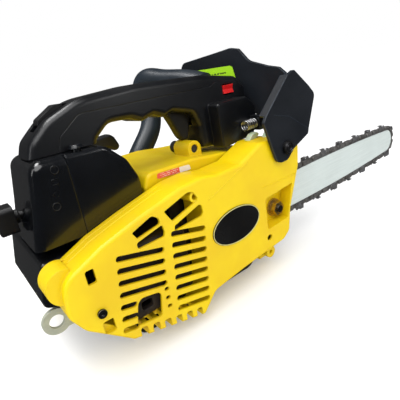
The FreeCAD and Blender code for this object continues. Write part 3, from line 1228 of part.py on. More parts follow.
def pins_and_screws():
    """Guard pivot bolts, bar stud, trigger pin and the pan-head screws of the covers."""
    right = D.guard_right
    bolts = []
    rows = (("right", right - 3.4, right - 0.3, D.cover_out - right + 3.3), ("left", 66.3, 59.0, 8.0))
    for name, head_at, shank_at, length in rows:
        head = cylinder(f"bolt_{name}_head", 6.5, 3.0, (D.guard_x, head_at, D.guard_z))
        shank = cylinder(f"bolt_{name}_shank", "dims.pivot_r", length, (D.guard_x, shank_at, D.guard_z))
        bolts += [head, shank]
    bolts.append(cylinder("bar_stud", "dims.stud_r", 42.0, (D.stud_x, -72.0, D.axis_z)))
    bolts.append(cylinder("trigger_pin", 1.5, 27.6, (47, D.handle_mid - 13.8, 187)))
    places = [(-98.0, 66.0, D.cover_out, -1)]
    places += [(-100, 60, D.starter_out, 1), (-60, 30, D.starter_out, 1), (74, 40, D.starter_out, 1),
               (74, 100, D.starter_out, 1)]
    for i, (x, z, y, out) in enumerate(places):
        screw = cylinder(f"screw_{i}_head", 3.4, 2.0, (x, y - 2.0 if out < 0 else y, z))
        recess = cylinder(f"screw_{i}_recess", 1.6, 1.4, (x, y - 2.0 if out < 0 else y + 0.6, z))
        bolts.append(cut(f"screw_{i}", screw, recess))
    node(fuse("fastener_set", *bolts), "pins_and_screws")


def isolation_spring():
    """Coil spring beside the handle's front block, in front of its seat."""
    helix = Part.makeHelix(2.9, 14.2, 4.2)
    wire = Part.Wire(Part.Circle(Vector(4.2, 0, 0), Vector(0, 1, 0), 0.8).toShape())
    coil = Part.Wire(helix).makePipeShell([wire], True, True)
    coil.rotate(Vector(0, 0, 0), Vector(0, 1, 0), 90)
    coil.translate(Vector(88.0, BLOCK_RIGHT - 5.4, 157.0))
    node(group("spring_coil", [coil]), "isolation_spring")


# ---------------------------------------------------------------- whole machine

def main():
    steps = (crankcase, cylinder_barrel, piston, connecting_rod, engine_pins, crankshaft, bearings, flywheel, ignition,
             plug_lead, muffler, clutch, oil_pump, guide_bar, chain, bar_fastening, engine_housing,
             clutch_cover, cover_badge, chain_catcher, starter_cover, starter, top_shroud, fuel_tank,
             tank_caps, intake_housing, air_filter_cover, cover_knob, carburettor, choke_and_primer,
             lanyard_eye, top_handle, trigger_parts, switch, front_handle, hand_guard, pins_and_screws,
             isolation_spring)
    for step in steps:
        step()
        doc.recompute()
        print(step.__name__, len(nodes))
    failed = [item.Name for item in doc.Objects if "Invalid" in item.State or "Error" in item.State]
    for item in nodes:
        if item.Shape.isNull() or not item.Shape.isValid() or item.Shape.Volume < 1.0:
            failed.append(item.Label)
    if failed:
        raise RuntimeError("failed: " + ", ".join(failed))
    os.makedirs("parts", exist_ok=True)
    for item in nodes:
        item.Shape.exportStep(f"parts/{item.Label}.step")
        print(f"{item.Label:22s} solids {len(item.Shape.Solids):3d} volume {item.Shape.Volume / 1000:8.2f} cm3")


main()
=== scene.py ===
import json
import math

import bmesh
import bpy
from mathutils import Euler, Matrix, Vector
from mathutils.bvhtree import BVHTree


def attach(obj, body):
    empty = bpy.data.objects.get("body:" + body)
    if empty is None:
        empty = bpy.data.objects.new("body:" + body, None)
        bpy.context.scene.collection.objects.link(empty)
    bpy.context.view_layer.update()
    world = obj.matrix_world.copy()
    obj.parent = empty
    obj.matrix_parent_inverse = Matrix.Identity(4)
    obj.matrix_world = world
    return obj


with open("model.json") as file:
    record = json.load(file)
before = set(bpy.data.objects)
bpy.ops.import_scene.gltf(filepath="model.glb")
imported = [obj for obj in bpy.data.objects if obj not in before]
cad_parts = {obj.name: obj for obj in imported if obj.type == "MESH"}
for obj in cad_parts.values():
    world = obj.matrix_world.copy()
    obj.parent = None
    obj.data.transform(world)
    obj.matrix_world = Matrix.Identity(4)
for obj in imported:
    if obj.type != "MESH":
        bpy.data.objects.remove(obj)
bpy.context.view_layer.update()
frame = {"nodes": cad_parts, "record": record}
print("frame loaded")


def inMetres(*sizes):
    # sizes on the saw are kept in millimetres, Blender works in metres
    return tuple(size / 1000 for size in sizes)


# ---- camera, floor and light

cameraView = {
    "place": (-0.1503, -0.2856, 0.2107),
    "degrees": (69.61, 9.01, -39.29),  # tilt, roll, heading
    "lens": 30.6,
}


def makeCamera():
    data = bpy.data.cameras.new("productCamera")
    data.lens = cameraView["lens"]
    data.sensor_width = 36
    data.clip_start = 0.01
    camera = bpy.data.objects.new("productCamera", data)
    bpy.context.scene.collection.objects.link(camera)
    turn = Euler([math.radians(angle) for angle in cameraView["degrees"]]).to_matrix().to_4x4()
    camera.matrix_world = Matrix.Translation(cameraView["place"]) @ turn
    bpy.context.scene.camera = camera


studio = {
    "floorSize": 60.0,
    "floorColor": (0.86, 0.86, 0.86, 1),
    "floorGlow": 0.16,
    "floorDrop": 0.0002,
    "worldSeen": 1.0,
    "worldLight": 0.62,
    "worldGloss": 0.05,
    "sunStrength": 1.75,
    "sunAngle": 50,
    "sunFrom": (-0.35, -0.55, 1.0),
    "lamps": [
        # name, place, aim, width, height, watts
        ("topSoftbox", (-0.25, 0.15, 0.95), (0.0, 0, 0.15), 0.5, 0.25, 4.2),
        ("rearStrip", (-0.95, -0.1, 0.6), (-0.05, 0, 0.12), 0.1, 0.7, 1.3),
        ("rightStrip", (0.5, -1.1, 0.5), (0.1, 0, 0.12), 0.12, 0.6, 1.5),
    ],
}


def makeLamp(name, place, aim, width, height, watts):
    data = bpy.data.lights.new(name, "AREA")
    data.shape = "RECTANGLE"
    data.size = width
    data.size_y = height
    data.energy = watts
    lamp = bpy.data.objects.new(name, data)
    lamp.location = place
    lamp.rotation_mode = "QUATERNION"
    lamp.rotation_quaternion = (Vector(aim) - Vector(place)).to_track_quat("-Z", "Y")
    bpy.context.scene.collection.objects.link(lamp)


def makeStudio():
    scene = bpy.context.scene
    scene.view_settings.view_transform = "Standard"
    world = bpy.data.worlds.new("studioWorld")
    scene.world = world
    world.use_nodes = True
    nodes, links = world.node_tree.nodes, world.node_tree.links
    nodes.clear()
    output = nodes.new("ShaderNodeOutputWorld")
    mix = nodes.new("ShaderNodeMixShader")
    path = nodes.new("ShaderNodeLightPath")
    light = nodes.new("ShaderNodeBackground")
    seen = nodes.new("ShaderNodeBackground")
    light.inputs["Strength"].default_value = studio["worldLight"]
    light.inputs["Color"].default_value = (1, 1, 1, 1)
    seen.inputs["Strength"].default_value = studio["worldSeen"]
    seen.inputs["Color"].default_value = (1, 1, 1, 1)
    gloss = nodes.new("ShaderNodeBackground")
    gloss.inputs["Strength"].default_value = studio["worldGloss"]
    gloss.inputs["Color"].default_value = (1, 1, 1, 1)
    inner = nodes.new("ShaderNodeMixShader")
    links.new(path.outputs["Is Glossy Ray"], inner.inputs["Fac"])
    links.new(light.outputs["Background"], inner.inputs[1])
    links.new(gloss.outputs["Background"], inner.inputs[2])
    links.new(path.outputs["Is Camera Ray"], mix.inputs["Fac"])
    links.new(inner.outputs["Shader"], mix.inputs[1])
    links.new(seen.outputs["Background"], mix.inputs[2])
    links.new(mix.outputs["Shader"], output.inputs["Surface"])
    for lamp in studio["lamps"]:
        makeLamp(*lamp)
    data = bpy.data.lights.new("softSun", "SUN")
    data.energy = studio["sunStrength"]
    data.angle = math.radians(studio["sunAngle"])
    sun = bpy.data.objects.new("softSun", data)
    sun.rotation_mode = "QUATERNION"
    sun.rotation_quaternion = (-Vector(studio["sunFrom"])).to_track_quat("-Z", "Y")
    scene.collection.objects.link(sun)
    mesh = bpy.data.meshes.new("studioFloor")
    half = studio["floorSize"] / 2
    low = -studio["floorDrop"]
    corners = [(-half, -half, low), (half, -half, low), (half, half, low), (-half, half, low)]
    mesh.from_pydata(corners, [], [(0, 1, 2, 3)])
    floor = bpy.data.objects.new("studioFloor", mesh)
    scene.collection.objects.link(floor)
    material = bpy.data.materials.new("paleFloor")
    material.use_nodes = True
    shader = material.node_tree.nodes["Principled BSDF"]
    shader.inputs["Base Color"].default_value = studio["floorColor"]
    shader.inputs["Roughness"].default_value = 0.9
    shader.inputs["Specular IOR Level"].default_value = 0.2
    shader.inputs["Emission Color"].default_value = (1, 1, 1, 1)
    shader.inputs["Emission Strength"].default_value = studio["floorGlow"]
    mesh.materials.append(material)
    floor.visible_glossy = False


makeCamera()
makeStudio()
print("camera and studio ready")


# ---- shared node groups

def newGroup(name, inputs, outputs):
    group = bpy.data.node_groups.new(name, "ShaderNodeTree")
    for label, kind, value in inputs:
        socket = group.interface.new_socket(label, in_out="INPUT", socket_type=kind)
        if value is not None:
            socket.default_value = value
    for label, kind in outputs:
        group.interface.new_socket(label, in_out="OUTPUT", socket_type=kind)
    return group, group.nodes.new("NodeGroupInput"), group.nodes.new("NodeGroupOutput")


def mathNode(tree, operation, *values, clamp=False):
    node = tree.nodes.new("ShaderNodeMath")
    node.operation = operation
    node.use_clamp = clamp
    for index, value in enumerate(values):
        if isinstance(value, (int, float)):
            node.inputs[index].default_value = value
        else:
            tree.links.new(value, node.inputs[index])
    return node.outputs[0]


def mixColor(tree, factor, first, second, blend="MIX"):
    node = tree.nodes.new("ShaderNodeMix")
    node.data_type = "RGBA"
    node.blend_type = blend
    for socket, value in ((node.inputs[0], factor), (node.inputs[6], first), (node.inputs[7], second)):
        if isinstance(value, (int, float)):
            socket.default_value = value
        elif isinstance(value, tuple):
            socket.default_value = (*value, 1) if len(value) == 3 else value
        else:
            tree.links.new(value, socket)
    return node.outputs[2]


def noiseNode(tree, scale, detail=3.0, roughness=0.5, vector=None):
    node = tree.nodes.new("ShaderNodeTexNoise")
    node.inputs["Detail"].default_value = detail
    node.inputs["Roughness"].default_value = roughness
    if isinstance(scale, (int, float)):
        node.inputs["Scale"].default_value = scale
    else:
        tree.links.new(scale, node.inputs["Scale"])
    if vector is None:
        vector = tree.nodes.new("ShaderNodeTexCoord").outputs["Object"]
    tree.links.new(vector, node.inputs["Vector"])
    return node.outputs["Fac"]


def rampNode(tree, value, low, high):
    node = tree.nodes.new("ShaderNodeMapRange")
    node.inputs["From Min"].default_value = low
    node.inputs["From Max"].default_value = high
    node.interpolation_type = "SMOOTHSTEP"
    tree.links.new(value, node.inputs["Value"])
    return node.outputs["Result"]


def mouldGrainGroup():
    # spark-eroded mould texture with faint flow marks
    group, source, sink = newGroup("mouldGrain", [
        ("Grain Scale", "NodeSocketFloat", 1500.0), ("Flow Scale", "NodeSocketFloat", 22.0),
        ("Flow Strength", "NodeSocketFloat", 0.3)],
        [("Height", "NodeSocketFloat"), ("Tone", "NodeSocketFloat")])
    fine = noiseNode(group, source.outputs["Grain Scale"], 2.0, 0.6)
    coarseScale = mathNode(group, "MULTIPLY", source.outputs["Grain Scale"], 0.28)
    coarse = noiseNode(group, coarseScale, 1.0, 0.4)
    flow = noiseNode(group, source.outputs["Flow Scale"], 3.0, 0.55)
    grain = mathNode(group, "ADD", fine, mathNode(group, "MULTIPLY", coarse, 0.6))
    height = mathNode(group, "ADD", grain, mathNode(group, "MULTIPLY", flow, source.outputs["Flow Strength"]))
    group.links.new(height, sink.inputs["Height"])
    group.links.new(rampNode(group, flow, 0.3, 0.72), sink.inputs["Tone"])
    return group


def edgeWearGroup():
    # where corners are rounded over and rubbed
    group, source, sink = newGroup("edgeWear", [
        ("Width", "NodeSocketFloat", 0.0008), ("Break Up", "NodeSocketFloat", 60.0)],
        [("Mask", "NodeSocketFloat"), ("Normal", "NodeSocketVector")])
    bevel = group.nodes.new("ShaderNodeBevel")
    bevel.samples = 6
    group.links.new(source.outputs["Width"], bevel.inputs["Radius"])
    geometry = group.nodes.new("ShaderNodeNewGeometry")
    dot = group.nodes.new("ShaderNodeVectorMath")
    dot.operation = "DOT_PRODUCT"
    group.links.new(bevel.outputs["Normal"], dot.inputs[0])
    group.links.new(geometry.outputs["Normal"], dot.inputs[1])
    bend = mathNode(group, "SUBTRACT", 1.0, dot.outputs["Value"])
    strong = mathNode(group, "MULTIPLY", bend, 5.0, clamp=True)
    broken = rampNode(group, noiseNode(group, source.outputs["Break Up"], 4.0, 0.6), 0.34, 0.66)
    group.links.new(mathNode(group, "MULTIPLY", strong, broken, clamp=True), sink.inputs["Mask"])
    group.links.new(bevel.outputs["Normal"], sink.inputs["Normal"])
    return group


def dustGroup():
    # fine dust that settles on faces that look upwards
    group, source, sink = newGroup("settledDust", [
        ("Amount", "NodeSocketFloat", 0.2), ("Patch Scale", "NodeSocketFloat", 35.0)],
        [("Mask", "NodeSocketFloat")])
    geometry = group.nodes.new("ShaderNodeNewGeometry")
    split = group.nodes.new("ShaderNodeSeparateXYZ")
    group.links.new(geometry.outputs["Normal"], split.inputs[0])
    upward = rampNode(group, split.outputs["Z"], 0.1, 1.0)
    patches = rampNode(group, noiseNode(group, source.outputs["Patch Scale"], 5.0, 0.65), 0.35, 0.75)
    amount = mathNode(group, "MULTIPLY", upward, patches)
    mask = mathNode(group, "MULTIPLY", amount, source.outputs["Amount"], clamp=True)
    group.links.new(mask, sink.inputs["Mask"])
    return group


def brushedGroup():
    # straight grinding marks along one axis
    group, source, sink = newGroup("brushedMarks", [
        ("Mark Scale", "NodeSocketVector", None)],
        [("Height", "NodeSocketFloat"), ("Tone", "NodeSocketFloat")])
    coordinate = group.nodes.new("ShaderNodeTexCoord")
    stretch = group.nodes.new("ShaderNodeVectorMath")
    stretch.operation = "MULTIPLY"
    group.links.new(coordinate.outputs["Object"], stretch.inputs[0])
    group.links.new(source.outputs["Mark Scale"], stretch.inputs[1])
    fine = noiseNode(group, 1.0, 4.0, 0.7, stretch.outputs[0])
    group.links.new(fine, sink.inputs["Height"])
    group.links.new(rampNode(group, fine, 0.3, 0.7), sink.inputs["Tone"])
    return group


grainGroup = mouldGrainGroup()
wearGroup = edgeWearGroup()
settledGroup = dustGroup()
marksGroup = brushedGroup()


def placeGroup(tree, group, **values):
    node = tree.nodes.new("ShaderNodeGroup")
    node.node_tree = group
    for label, value in values.items():
        socket = node.inputs[label.replace("_", " ")]
        socket.default_value = value
    return node


def startMaterial(name):
    material = bpy.data.materials.new(name)
    material.use_nodes = True
    return material, material.node_tree, material.node_tree.nodes["Principled BSDF"]


def bumpInto(tree, shader, height, strength, distance, normal=None):
    bump = tree.nodes.new("ShaderNodeBump")
    bump.inputs["Strength"].default_value = strength
    bump.inputs["Distance"].default_value = distance
    tree.links.new(height, bump.inputs["Height"])
    if normal is not None:
        tree.links.new(normal, bump.inputs["Normal"])
    tree.links.new(bump.outputs["Normal"], shader.inputs["Normal"])


def plasticMaterial(name, look):
    # moulded plastic or rubber: colour, mould grain, rubbed edges and a trace of dust
    material, tree, shader = startMaterial(name)
    grain = placeGroup(tree, grainGroup, Grain_Scale=look["grain"], Flow_Scale=look.get("flow", 22.0))
    wear = placeGroup(tree, wearGroup, Width=look.get("edge", 0.0007), Break_Up=70.0)
    dust = placeGroup(tree, settledGroup, Amount=look.get("dust", 0.012), Patch_Scale=45.0)
    color = mixColor(tree, grain.outputs["Tone"], look["color"], look["shade"])
    color = mixColor(tree, mathNode(tree, "MULTIPLY", wear.outputs["Mask"], look.get("wear", 0.25)),
                     color, look.get("rubbed", look["color"]))
    color = mixColor(tree, dust.outputs["Mask"], color, (0.6, 0.56, 0.48))
    tree.links.new(color, shader.inputs["Base Color"])
    spread = mathNode(tree, "MULTIPLY_ADD", grain.outputs["Tone"], look.get("roughSpread", 0.08),
                      look["rough"])
    rough = mathNode(tree, "ADD", spread, mathNode(tree, "MULTIPLY", dust.outputs["Mask"], 0.5), clamp=True)
    tree.links.new(rough, shader.inputs["Roughness"])
    shader.inputs["Coat Weight"].default_value = look.get("coat", 0.0)
    shader.inputs["Coat Roughness"].default_value = look.get("coatRough", 0.15)
    shader.inputs["Specular IOR Level"].default_value = look.get("specular", 0.5)
    if "glow" in look:  # light that passes a little way into the plastic
        shader.inputs["Subsurface Weight"].default_value = look["glow"]
        shader.inputs["Subsurface Radius"].default_value = (0.004, 0.002, 0.0004)
        shader.inputs["Subsurface Scale"].default_value = 0.4
    bumpInto(tree, shader, grain.outputs["Height"], look.get("bump", 0.15), 0.0002, wear.outputs["Normal"])
    return material


def metalMaterial(name, look):
    # cast, ground or plated metal with darker oil film and bright worn edges
    material, tree, shader = startMaterial(name)
    marks = placeGroup(tree, marksGroup, Mark_Scale=look["marks"])
    wear = placeGroup(tree, wearGroup, Width=look.get("edge", 0.0004), Break_Up=110.0)
    stain = rampNode(tree, noiseNode(tree, look.get("stainScale", 60.0), 5.0, 0.6), 0.35, 0.7)
    color = mixColor(tree, marks.outputs["Tone"], look["color"], look["shade"])
    color = mixColor(tree, mathNode(tree, "MULTIPLY", stain, look.get("film", 0.3)), color, look["stain"])
    color = mixColor(tree, mathNode(tree, "MULTIPLY", wear.outputs["Mask"], look.get("wear", 0.6)), color,
                     look.get("bright", (0.8, 0.8, 0.8)))
    tree.links.new(color, shader.inputs["Base Color"])
    shader.inputs["Metallic"].default_value = look.get("metal", 1.0)
    rough = mathNode(tree, "MULTIPLY_ADD", marks.outputs["Tone"], 0.12, look["rough"])
    rough = mathNode(tree, "MULTIPLY_ADD", stain, look.get("stainRough", 0.1), rough, clamp=True)
    tree.links.new(rough, shader.inputs["Roughness"])
    bumpInto(tree, shader, marks.outputs["Height"], look.get("bump", 0.12), 0.0001, wear.outputs["Normal"])
    return material


plasticLooks = {
    "plastic_yellow": {"color": (0.80, 0.585, 0.002), "shade": (0.74, 0.50, 0.001),
                       "rubbed": (0.95, 0.78, 0.06),
                       "grain": 1400.0, "rough": 0.34, "edge": 0.0012, "wear": 0.35, "specular": 0.35,
                       "bump": 0.1, "glow": 0.08, "dust": 0.02},
    "plastic_black": {"color": (0.004, 0.004, 0.005), "shade": (0.008, 0.008, 0.009),
                      "rubbed": (0.05, 0.05, 0.055), "grain": 1600.0, "rough": 0.42, "bump": 0.3},
    "plastic_satin_black": {"color": (0.003, 0.0035, 0.005), "shade": (0.006, 0.007, 0.009),
                            "rubbed": (0.07, 0.075, 0.085), "grain": 1700.0, "rough": 0.3, "coat": 0.15,
                            "coatRough": 0.2, "bump": 0.2, "edge": 0.0012},
    "plastic_gloss_black": {"color": (0.0015, 0.002, 0.003), "shade": (0.003, 0.004, 0.006),
                            "rubbed": (0.06, 0.07, 0.09), "grain": 900.0, "rough": 0.16, "coat": 0.5,
                            "coatRough": 0.08, "bump": 0.08, "edge": 0.0014},
    "rubber_black": {"color": (0.018, 0.018, 0.018), "shade": (0.03, 0.03, 0.03), "grain": 1100.0,
                     "rough": 0.7,
                     "bump": 0.4},
    "ceramic_white": {"color": (0.82, 0.8, 0.74), "shade": (0.74, 0.72, 0.66), "grain": 700.0, "rough": 0.12,
                      "coat": 0.6, "bump": 0.05},
    "housing_grey": {"color": (0.010, 0.010, 0.012), "shade": (0.016, 0.016, 0.019), "grain": 1300.0,
                     "rough": 0.5,
                     "bump": 0.35},
    "badge_black": {"color": (0.004, 0.004, 0.004), "shade": (0.007, 0.007, 0.007), "grain": 600.0,
                    "rough": 0.2,
                    "coat": 0.4, "coatRough": 0.1, "bump": 0.04, "dust": 0.0},
    "plastic_red": {"color": (0.78, 0.02, 0.02), "shade": (0.66, 0.012, 0.014), "rubbed": (0.95, 0.3, 0.25),
                    "grain": 1000.0, "rough": 0.2, "coat": 0.5, "coatRough": 0.08, "bump": 0.06, "glow": 0.1},
    "guard_black": {"color": (0.006, 0.0085, 0.013), "shade": (0.010, 0.013, 0.019),
                    "rubbed": (0.10, 0.14, 0.19),
                    "grain": 1500.0, "rough": 0.46, "bump": 0.35, "edge": 0.0012, "wear": 0.6},
    "tube_black": {"color": (0.012, 0.018, 0.026), "shade": (0.018, 0.026, 0.036),
                   "rubbed": (0.10, 0.13, 0.17),
                   "grain": 1100.0, "rough": 0.36, "bump": 0.25},
    "muffler_black": {"color": (0.012, 0.011, 0.010), "shade": (0.03, 0.022, 0.018),
                      "rubbed": (0.15, 0.12, 0.1),
                      "grain": 800.0, "rough": 0.38, "bump": 0.5, "flow": 45.0},
    "filter_felt": {"color": (0.7, 0.66, 0.55), "shade": (0.55, 0.5, 0.4), "grain": 2600.0, "rough": 0.92,
                    "bump": 0.9, "specular": 0.2},
}

metalLooks = {
    "cast_light": {"color": (0.56, 0.57, 0.58), "shade": (0.42, 0.43, 0.44), "stain": (0.2, 0.19, 0.17),
                   "marks": (420.0, 420.0, 420.0), "rough": 0.42, "bump": 0.5, "film": 0.35},
    "steel_dark": {"color": (0.13, 0.13, 0.14), "shade": (0.2, 0.2, 0.21), "stain": (0.05, 0.045, 0.04),
                   "marks": (300.0, 900.0, 300.0), "rough": 0.34, "bump": 0.2},
    "steel_bright": {"color": (0.66, 0.66, 0.67), "shade": (0.52, 0.52, 0.54), "stain": (0.3, 0.28, 0.25),
                     "marks": (200.0, 1500.0, 200.0), "rough": 0.22, "bump": 0.12},
    # the bar is a light, barely metallic grey: partly its satin steel, partly a painted reflection of the
    # bright studio
    "bar_steel": {"color": (0.70, 0.77, 0.75), "shade": (0.58, 0.65, 0.63), "stain": (0.46, 0.5, 0.48),
                  "marks": (14.0, 400.0, 1400.0), "rough": 0.4, "bump": 0.1, "film": 0.2, "wear": 0.35,
                  "bright": (0.85, 0.9, 0.9), "stainScale": 26.0, "metal": 0.12},
    "chain_steel": {"color": (0.17, 0.165, 0.16), "shade": (0.28, 0.27, 0.26), "stain": (0.03, 0.026, 0.02),
                    "marks": (500.0, 500.0, 500.0), "rough": 0.3, "bump": 0.3, "film": 0.6,
                    "stainScale": 130.0,
                    "wear": 0.8, "bright": (0.62, 0.61, 0.6), "metal": 0.6},
    "cutter_steel": {"color": (0.14, 0.14, 0.145), "shade": (0.26, 0.26, 0.27), "stain": (0.05, 0.045, 0.04),
                     "marks": (600.0, 600.0, 600.0), "rough": 0.26, "bump": 0.25, "film": 0.45,
                     "stainScale": 120.0, "wear": 0.8, "bright": (0.8, 0.8, 0.8), "metal": 0.55},
    "nut_bronze": {"color": (0.62, 0.46, 0.16), "shade": (0.5, 0.42, 0.24), "stain": (0.4, 0.24, 0.2),
                   "marks": (300.0, 900.0, 300.0), "rough": 0.28, "bump": 0.15, "film": 0.4,
                   "bright": (0.85, 0.78, 0.6)},
    "zinc_steel": {"color": (0.6, 0.62, 0.5), "shade": (0.5, 0.53, 0.44), "stain": (0.42, 0.46, 0.42),
                   "marks": (90.0, 700.0, 300.0), "rough": 0.3, "bump": 0.12, "film": 0.4,
                   "bright": (0.88, 0.9, 0.82), "metal": 0.35},
    "screw_steel": {"color": (0.08, 0.08, 0.085), "shade": (0.13, 0.13, 0.135), "stain": (0.03, 0.03, 0.03),
                    "marks": (400.0, 400.0, 400.0), "rough": 0.3, "bump": 0.2, "wear": 0.7},
}


def ropeMaterial():
    # braided white cord: two crossing sets of strands
    material, tree, shader = startMaterial("rope_white")
    coordinate = tree.nodes.new("ShaderNodeTexCoord")
    strands = []
    for turn in (0.7, -0.7):
        mapping = tree.nodes.new("ShaderNodeMapping")
        mapping.inputs["Rotation"].default_value = (0, turn, 0)
        wave = tree.nodes.new("ShaderNodeTexWave")
        wave.inputs["Scale"].default_value = 260.0
        wave.inputs["Distortion"].default_value = 1.2
        tree.links.new(coordinate.outputs["Object"], mapping.inputs["Vector"])
        tree.links.new(mapping.outputs["Vector"], wave.inputs["Vector"])
        strands.append(wave.outputs["Fac"])
    braid = mathNode(tree, "MAXIMUM", *strands)
    tree.links.new(mixColor(tree, braid, (0.45, 0.44, 0.4), (0.85, 0.85, 0.8)), shader.inputs["Base Color"])
    fuzz = mathNode(tree, "MULTIPLY_ADD", noiseNode(tree, 3000.0), 0.15, 0.75)
    tree.links.new(fuzz, shader.inputs["Roughness"])
    bumpInto(tree, shader, braid, 0.8, 0.0004)
    return material


def dressNodes():
    made = {name: plasticMaterial(name, look) for name, look in plasticLooks.items()}
    made.update({name: metalMaterial(name, look) for name, look in metalLooks.items()})
    made["rope_white"] = ropeMaterial()
    for row in frame["record"]["subparts"]:
        thing = frame["nodes"][row["node"]]
        material = made[row["material_slot"]]
        if not thing.material_slots:
            thing.data.materials.append(material)
        for slot in thing.material_slots:
            slot.material = material
    return made


finishes = dressNodes()
print("finishes on", len(frame["nodes"]), "parts")


# ---- small pieces that sit on the moulded parts


def surfaceOf(nodeName):
    mesh = frame["nodes"][nodeName].data
    return BVHTree.FromPolygons([v.co for v in mesh.vertices], [p.vertices for p in mesh.polygons])


def newPiece(name, vertices, faces, material, body, smooth=False):
    mesh = bpy.data.meshes.new(name)
    mesh.from_pydata(vertices, [], faces)
    mesh.validate()
    mesh.update()
    for face in mesh.polygons:
        face.use_smooth = smooth
    piece = bpy.data.objects.new(name, mesh)
    bpy.context.scene.collection.objects.link(piece)
    mesh.materials.append(material)
    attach(piece, body)
    return piece


layOn = {"patchStart": 0.03, "patchReach": 0.08, "beadStart": 0.04, "beadReach": 0.1, "narrow": 0.05}


def patchOn(name, nodeName, corners, toward, lift, material, body, columns=14, rows=8, rounding=0.18):
    # thin sticker: a grid between four corners, laid on the part's surface along one direction
    tree = surfaceOf(nodeName)
    aim = Vector(toward).normalized()
    a, b, c, d = [Vector(inMetres(*corner)) for corner in corners]
    vertices, faces = [], []
    for row in range(rows + 1):
        v = row / rows
        edge = max(0.0, abs(v - 0.5) * 2 - (1 - rounding)) / rounding
        narrow = layOn["narrow"] * edge * edge
        for column in range(columns + 1):
            u = narrow + (1 - 2 * narrow) * column / columns
            point = a.lerp(b, u).lerp(d.lerp(c, u), v)
            hit = tree.ray_cast(point - aim * layOn["patchStart"], aim, layOn["patchReach"])
            place = (hit[0] if hit[0] is not None else point) - aim * lift
            vertices.append(place)
    across = columns + 1
    for row in range(rows):
        for column in range(columns):
            low = row * across + column
            faces.append((low, low + 1, low + 1 + across, low + across))
    piece = newPiece(name, vertices, faces, material, body)
    thick = piece.modifiers.new("thickness", "SOLIDIFY")
    thick.thickness = lift * 0.9
    thick.offset = 0
    return piece


def tubeAlong(name, points, radius, material, body, closed=False, sides=8):
    # round bead or wire through points in metres
    vertices, faces = [], []
    count = len(points)
    for index, point in enumerate(points):
        before = points[(index - 1) % count] if closed or index else point
        after = points[(index + 1) % count] if closed or index < count - 1 else point
        along = (after - before).normalized()
        side = along.cross(Vector((0, 0, 1)))
        if side.length < 0.1:
            side = along.cross(Vector((0, 1, 0)))
        side.normalize()
        other = along.cross(side)
        for turn in range(sides):
            angle = 2 * math.pi * turn / sides
            vertices.append(point + (side * math.cos(angle) + other * math.sin(angle)) * radius)
    for index in range(count if closed else count - 1):
        first, second = index * sides, (index + 1) % count * sides
        for turn in range(sides):
            after = (turn + 1) % sides
            faces.append((first + turn, first + after, second + after, second + turn))
    if not closed:
        faces.append(tuple(range(sides))[::-1])
        faces.append(tuple(range((count - 1) * sides, count * sides)))
    return newPiece(name, vertices, faces, material, body, smooth=True)


def beadOn(name, nodeName, start, end, toward, radius, sink, material, body, count=24):
    # raised line of plastic that follows the surface between two points
    tree = surfaceOf(nodeName)
    aim = Vector(toward).normalized()
    first, last = Vector(inMetres(*start)), Vector(inMetres(*end))
    points = []
    for index in range(count):
        point = first.lerp(last, index / (count - 1))
        hit = tree.ray_cast(point - aim * layOn["beadStart"], aim, layOn["beadReach"])
        if hit[0] is not None:
            points.append(hit[0] + aim * sink)
    return tubeAlong(name, points, radius, material, body)


def softBlock(name, corners, depth, material, body, bevel=0.0008):
    # block with a drawn side outline in x and z, bevelled all round
    low, high = depth
    outline = [inMetres(x, 0, z) for x, z in corners]
    count = len(outline)
    vertices = [(x, low / 1000, z) for x, _, z in outline] + [(x, high / 1000, z) for x, _, z in outline]
    faces = [tuple(range(count)), tuple(range(2 * count - 1, count - 1, -1))]
    for index in range(count):
        after = (index + 1) % count
        faces.append((index, index + count, after + count, after))
    piece = newPiece(name, vertices, faces, material, body, smooth=True)
    edges = bmesh.new()
    edges.from_mesh(piece.data)
    bmesh.ops.recalc_face_normals(edges, faces=edges.faces)
    edges.to_mesh(piece.data)
    edges.free()
    rounding = piece.modifiers.new("rounding", "BEVEL")
    rounding.width = bevel
    rounding.segments = 3
    piece.modifiers.new("evenShade", "WEIGHTED_NORMAL")
    return piece


def printedLabel(name, look):
    # printed sticker: background, plain bars for rows of print and a block at one end
    material, tree, shader = startMaterial(name)
    coordinate = tree.nodes.new("ShaderNodeTexCoord")
    split = tree.nodes.new("ShaderNodeSeparateXYZ")
    tree.links.new(coordinate.outputs["Generated"], split.inputs[0])
    along, up = split.outputs[look["along"]], split.outputs[look["up"]]
    rowPhase = mathNode(tree, "FRACT", mathNode(tree, "MULTIPLY", up, look["rows"]))
    row = mathNode(tree, "MULTIPLY", mathNode(tree, "GREATER_THAN", rowPhase, 0.42),
                   mathNode(tree, "LESS_THAN", rowPhase, 0.74))
    breakUp = noiseNode(tree, look["printScale"], 1.0, 0.4)
    words = mathNode(tree, "GREATER_THAN", breakUp, 0.44)
    inside = mathNode(tree, "MULTIPLY", mathNode(tree, "GREATER_THAN", along, look["from"]),
                      mathNode(tree, "LESS_THAN", along, look["to"]))
    ink = mathNode(tree, "MULTIPLY", mathNode(tree, "MULTIPLY", row, words), inside)
    ink = mathNode(tree, "MULTIPLY", ink, mathNode(tree, "LESS_THAN", up, look["below"]))
    band = mathNode(tree, "GREATER_THAN", along, look["bandFrom"])
    color = mixColor(tree, band, look["paper"], look["bandColor"])
    color = mixColor(tree, ink, color, look["inkColor"])
    color = mixColor(tree, mathNode(tree, "MULTIPLY", noiseNode(tree, 90.0), 0.2), color, look["faded"])
    tree.links.new(color, shader.inputs["Base Color"])
    shader.inputs["Coat Weight"].default_value = 0.3
    shader.inputs["Coat Roughness"].default_value = 0.2
    paperRough = mathNode(tree, "MULTIPLY_ADD", noiseNode(tree, 300.0), 0.2, 0.3)
    tree.links.new(paperRough, shader.inputs["Roughness"])
    bumpInto(tree, shader, noiseNode(tree, 500.0), 0.05, 0.0001)
    return material


